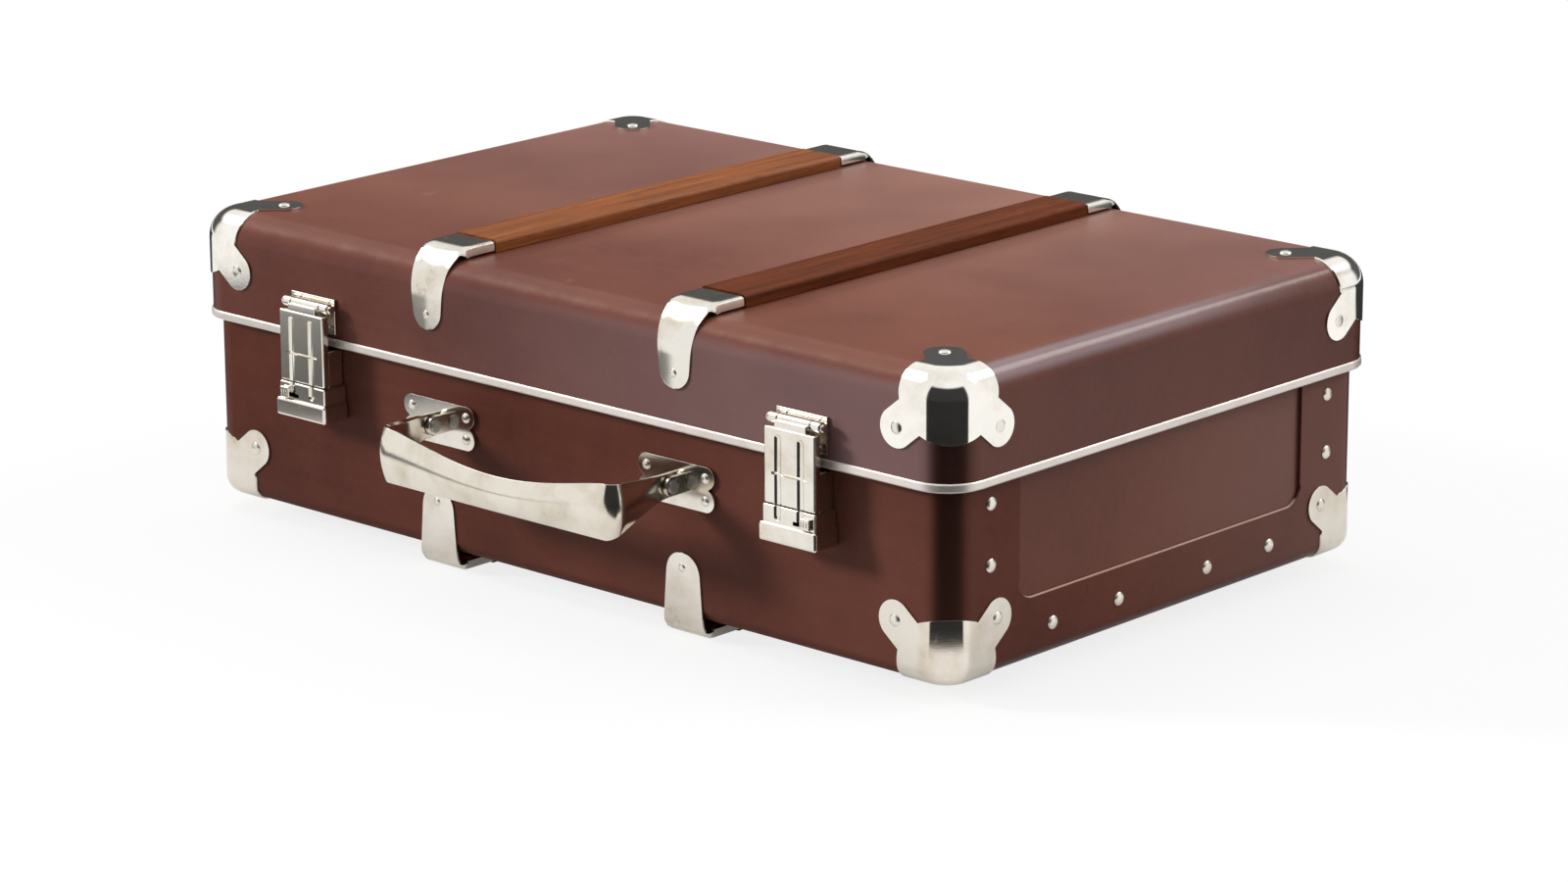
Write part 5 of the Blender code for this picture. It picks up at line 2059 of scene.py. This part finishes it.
@dataclass
class Hinges:
    """Two cranked hinges at the back."""

    rounding: float = 0.35 * MM
    leaf_out: float = 1.5 * MM
    rivet: float = 2.6 * MM
    rivet_inset: float = 9 * MM
    rivet_pitch: float = 14 * MM

    def build(self, rivets: Rivets) -> None:
        """Makes the hinges and names their rivets.

        Args:
            rivets: gathers the rivets.
        """
        for side in Side:
            for shell in (LID_SHELL, BASE_SHELL):
                half = shell.half
                node = f"hinge_{half.word}_leaf_{side.word}"
                made = thing(f"hinge_{half.word}_plate_{side.word}", softened(node, self.rounding, 2))
                delivered(made, NICKEL, half.word, node)
                span = Span.of(node)
                height = span.corner(1, 1, half.value).z - half.value * self.rivet_inset
                for step in (-1, 0, 1):
                    spot = Vector((span.centre.x + step * self.rivet_pitch, shell.span.high.y + self.leaf_out,
                                   height))
                    rivets.add(half.word, spot, -FORWARD, self.rivet)
            dressed(f"hinge_pin_{side.word}", STEEL)


class Interior:
    """Linings and rim frames inside the case."""

    def build(self) -> None:
        """Dresses the inside."""
        for half in Half:
            dressed(f"{half.word}_lining", PAPER)
            dressed(f"{half.word}_rim_frame", FRAME_WOOD)


@dataclass(frozen=True)
class Flag:
    """Dark cloth on the floor that only the polished metal and varnish mirror."""

    name: str
    centre: Point
    reach: Point
    tone: float
    heading: float = 0.0
    spread: float = math.pi
    soft: float = 0.06
    lift: float = 0.5 * MM

    def lay(self) -> None:
        """Lays the cloth as a fan about its centre."""
        shape = bmesh.new()
        bmesh.ops.create_grid(shape, x_segments=24, y_segments=4, size=1.0)
        near, far = self.reach
        for vert in shape.verts:
            turn = self.heading + vert.co.x * self.spread
            distance = near + (vert.co.y + 1) / 2 * (far - near)
            east, north = distance * math.cos(turn), distance * math.sin(turn)
            vert.co = Vector((self.centre[0] + east, self.centre[1] + north, self.lift))
        closed_up(shape, 2 * BENT_MERGED)
        made = thing(self.name, shape)
        board = Board.finish(self.name)
        weave = board.noise(board.place(), 30.0, 3.0)
        cloth = board.matte(board.mix((self.tone,) * 3, (1.25 * self.tone,) * 3, weave), 0.9)
        clear = board.node("ShaderNodeBsdfTransparent")
        made.data.materials.append(board.blended(self.share(board), clear, cloth))
        for ray in ("camera", "diffuse", "shadow", "transmission", "volume_scatter"):
            setattr(made, f"visible_{ray}", False)

    def share(self, board: Board) -> Wire:
        """How much of the cloth shows at a place: all of it inside, none at its edges.

        Args:
            board: the node tree.

        Returns:
            The share from 0 to 1.
        """
        x, y, _ = board.axes("Object")
        east, north = x - self.centre[0], y - self.centre[1]
        distance = board.math("SQRT", east * east + north * north, 0.0)
        near, far = self.reach
        share = distance.step(far, far * (1 - self.soft))
        if near > 0:
            share = share * distance.step(near, near * (1 + self.soft))
        if self.spread < math.pi:
            ahead = east * math.cos(self.heading) + north * math.sin(self.heading)
            aim = board.math("DIVIDE", ahead, distance)
            share = share * aim.step(math.cos(self.spread), math.cos(self.spread * (1 - self.soft)))
        return share


@dataclass(frozen=True)
class Lamp:
    """Broad far lamp that the metal doesn't mirror, with its width in degrees as seen from the case."""

    name: str
    direction: Sequence[float]
    power: float
    spread: float

    def hang(self) -> None:
        """Hangs the lamp so that it shines on the case."""
        light = bpy.data.lights.new(self.name, "SUN")
        light.energy = self.power
        light.angle = math.radians(self.spread)
        made = bpy.data.objects.new(self.name, light)
        made.rotation_euler = Vector(self.direction).to_track_quat("Z", "Y").to_euler()
        made.visible_glossy = False
        bpy.context.scene.collection.objects.link(made)


@dataclass
class Studio:
    """Plain pale floor, soft light, a white tent and dark flags for the metal to mirror, and the camera."""

    floor_size: float = 14.0
    floor_tone: Colour = (0.94, 0.937, 0.932)
    bounce_tone: Colour = (0.18, 0.175, 0.17)
    floor_glow: float = 0.82
    contact: float = 0.24
    contact_share: float = 0.8
    low_sky: float = 0.05
    high_sky: float = 0.45
    mirrored_low: float = 0.04
    mirrored_behind: float = 0.10
    mirrored_high: float = 1.0
    tent_foot: Point = (-0.06, -0.03)
    slot_turn: Point = (56, 50)
    slot_rise: Point = (0.66, 0.76)
    behind_turn: Point = (105, 125)
    behind_rise: Point = (0.43, 0.54)
    soft_boxes: float = 4.6
    box_turns: tuple[Point, Point] = ((92, 102), (138, 128))
    box_rises: tuple[Point, Point] = ((0.56, 0.62), (0.82, 0.76))
    location: tuple[float, float, float] = (1.67513, -1.80810, 0.74330)
    aim: tuple[float, float, float] = (0.00890, 0.01296, 0.05033)
    roll: float = math.radians(-0.2109)
    lens: float = 119.011

    def build(self) -> None:
        """Sets up floor, room, lamps, flags and camera."""
        self.floor()
        self.world()
        lamps = (
            Lamp("soft_top", (-0.22, 0.06, 1.0), 1.22, 50),
            Lamp("key_left", (-0.80, -0.52, 0.35), 2.30, 12),
            Lamp("soft_left", (-0.68, -0.73, 0.28), 0.20, 44),
            Lamp("soft_back", (0.58, 0.72, 0.45), 1.30, 40),
        )
        for lamp in lamps:
            lamp.hang()
        corner = (LID.high.x - LID_SHELL.corner, LID.low.y + LID_SHELL.corner)
        flags = (
            Flag("flag_camera_side", corner, (0.096, 60.0), 0.02, self.heading(), math.radians(54)),
            Flag("flag_left_side", (-0.10, -0.10), (0.28, 0.64), 0.16, math.radians(203.5),
                 math.radians(25.5)),
            Flag("flag_behind", (0.0, MIDDLE), (0.33, 2.2), 0.03, math.radians(118), math.radians(72)),
            Flag("flag_handle", (-0.335, -0.42), (0.0, 0.12), 0.08, soft=0.5, lift=MM),
        )
        for flag in flags:
            flag.lay()
        self.camera()
        bpy.context.scene.view_settings.view_transform = "Standard"

    def heading(self) -> float:
        """Direction from the near corner of the case to the camera, seen from above."""
        return math.atan2(self.location[1] - LID.low.y, self.location[0] - LID.high.x)

    def floor(self) -> None:
        """Lays the floor; most of what is seen of it is even white, so its shadows stay light."""
        shape = bmesh.new()
        bmesh.ops.create_grid(shape, x_segments=2, y_segments=2, size=self.floor_size)
        made = thing("studio_floor", shape)
        board = Board.finish("studio_floor")
        cloud = board.noise(board.place(), 3.0, 2.0)
        shade = tuple(0.98 * part for part in self.floor_tone)
        tone = board.mix(self.floor_tone, shade, cloud)
        tone = board.mix(tone, self.bounce_tone, board.node("ShaderNodeLightPath", out="Is Diffuse Ray"))
        glow = board.node("ShaderNodeEmission", {}, {"Color": (1.0, 1.0, 1.0), "Strength": 1.0})
        camera, glossy, through = (
            board.node("ShaderNodeLightPath", out=f"Is {kind} Ray")
            for kind in ("Camera", "Glossy", "Transmission")
        )
        x, y, _ = board.axes("Object")
        away = (abs(x) - LID.high.x).most(abs(y - MIDDLE) - (LID.high.y - MIDDLE))
        close = away.step(self.contact, 0.0) * self.contact_share
        share = camera.most(glossy.most(through) * (1.0 - close)) * self.floor_glow
        made.data.materials.append(board.blended(share, board.matte(tone, 0.85), glow))

    def world(self) -> None:
        """Fills the room with even light, and with a tent for what mirrors it.

        The tent is white, with a dark slot towards the camera, a darker low part behind the case and two
        soft boxes that light the lid's edges. Turns are in degrees from the camera's direction.
        """
        board = Board(bpy.data.worlds.new("studio"))
        east, north, rise = board.axes("Generated")
        plain = self.low_sky + rise.step(0.28, 0.75) * (self.high_sky - self.low_sky)
        toward = (math.cos(self.heading()), math.sin(self.heading()))
        ahead = east * toward[0] + north * toward[1]
        aside = board.math("ARCTAN2", abs(north * toward[0] - east * toward[1]), ahead)
        turn = aside * math.degrees(1.0)
        white = rise.step(*self.tent_foot)
        white = white + turn.step(*self.slot_turn) * (rise.step(*self.slot_rise) - white)
        behind = turn.step(*self.behind_turn)
        white = white + behind * (rise.step(*self.behind_rise) - white)
        low = self.mirrored_low + behind * (self.mirrored_behind - self.mirrored_low)
        tent = low + white * (self.mirrored_high - low)
        sides, heights = ([part.step(*edge) for edge in edges]
                          for part, edges in ((turn, self.box_turns), (rise, self.box_rises)))
        tent = tent + sides[0] * sides[1] * heights[0] * heights[1] * self.soft_boxes
        mirrors = board.node("ShaderNodeLightPath", out="Is Glossy Ray")
        strength = plain + mirrors * (tent - plain)
        light = board.node("ShaderNodeBackground", {}, {"Color": (1.0, 1.0, 1.0), "Strength": strength})
        bpy.context.scene.world = board.ended(light)

    def camera(self) -> None:
        """Sets the camera at the photograph's place."""
        lens = bpy.data.cameras.new("photo_camera")
        lens.lens = self.lens
        lens.sensor_width = 36.0
        lens.clip_end = 100.0
        made = bpy.data.objects.new("photo_camera", lens)
        ahead = (Vector(self.aim) - Vector(self.location)).normalized()
        level = ahead.cross(Vector((0, 0, 1))).normalized()
        above = level.cross(ahead)
        right = level * math.cos(self.roll) + above * math.sin(self.roll)
        turn = Matrix((right, -ahead.cross(right), -ahead)).transposed().to_4x4()
        made.matrix_world = Matrix.Translation(self.location) @ turn
        bpy.context.scene.collection.objects.link(made)
        bpy.context.scene.camera = made


def main() -> None:
    """Builds the suitcase and its studio in order."""
    logging.basicConfig(level=logging.INFO, format="%(name)s: %(message)s")
    Studio().build()
    rivets = Rivets()
    FibreCase().build()
    EdgeBand().build()
    Slats().build()
    Clips().build(rivets)
    CornerCaps().build(rivets)
    for side in Side:
        Latch(side).build(rivets)
    Handle().build(rivets)
    Hinges().build(rivets)
    Interior().build()
    rivets.ends()
    rivets.build()


if __name__ == "__main__":
    main()
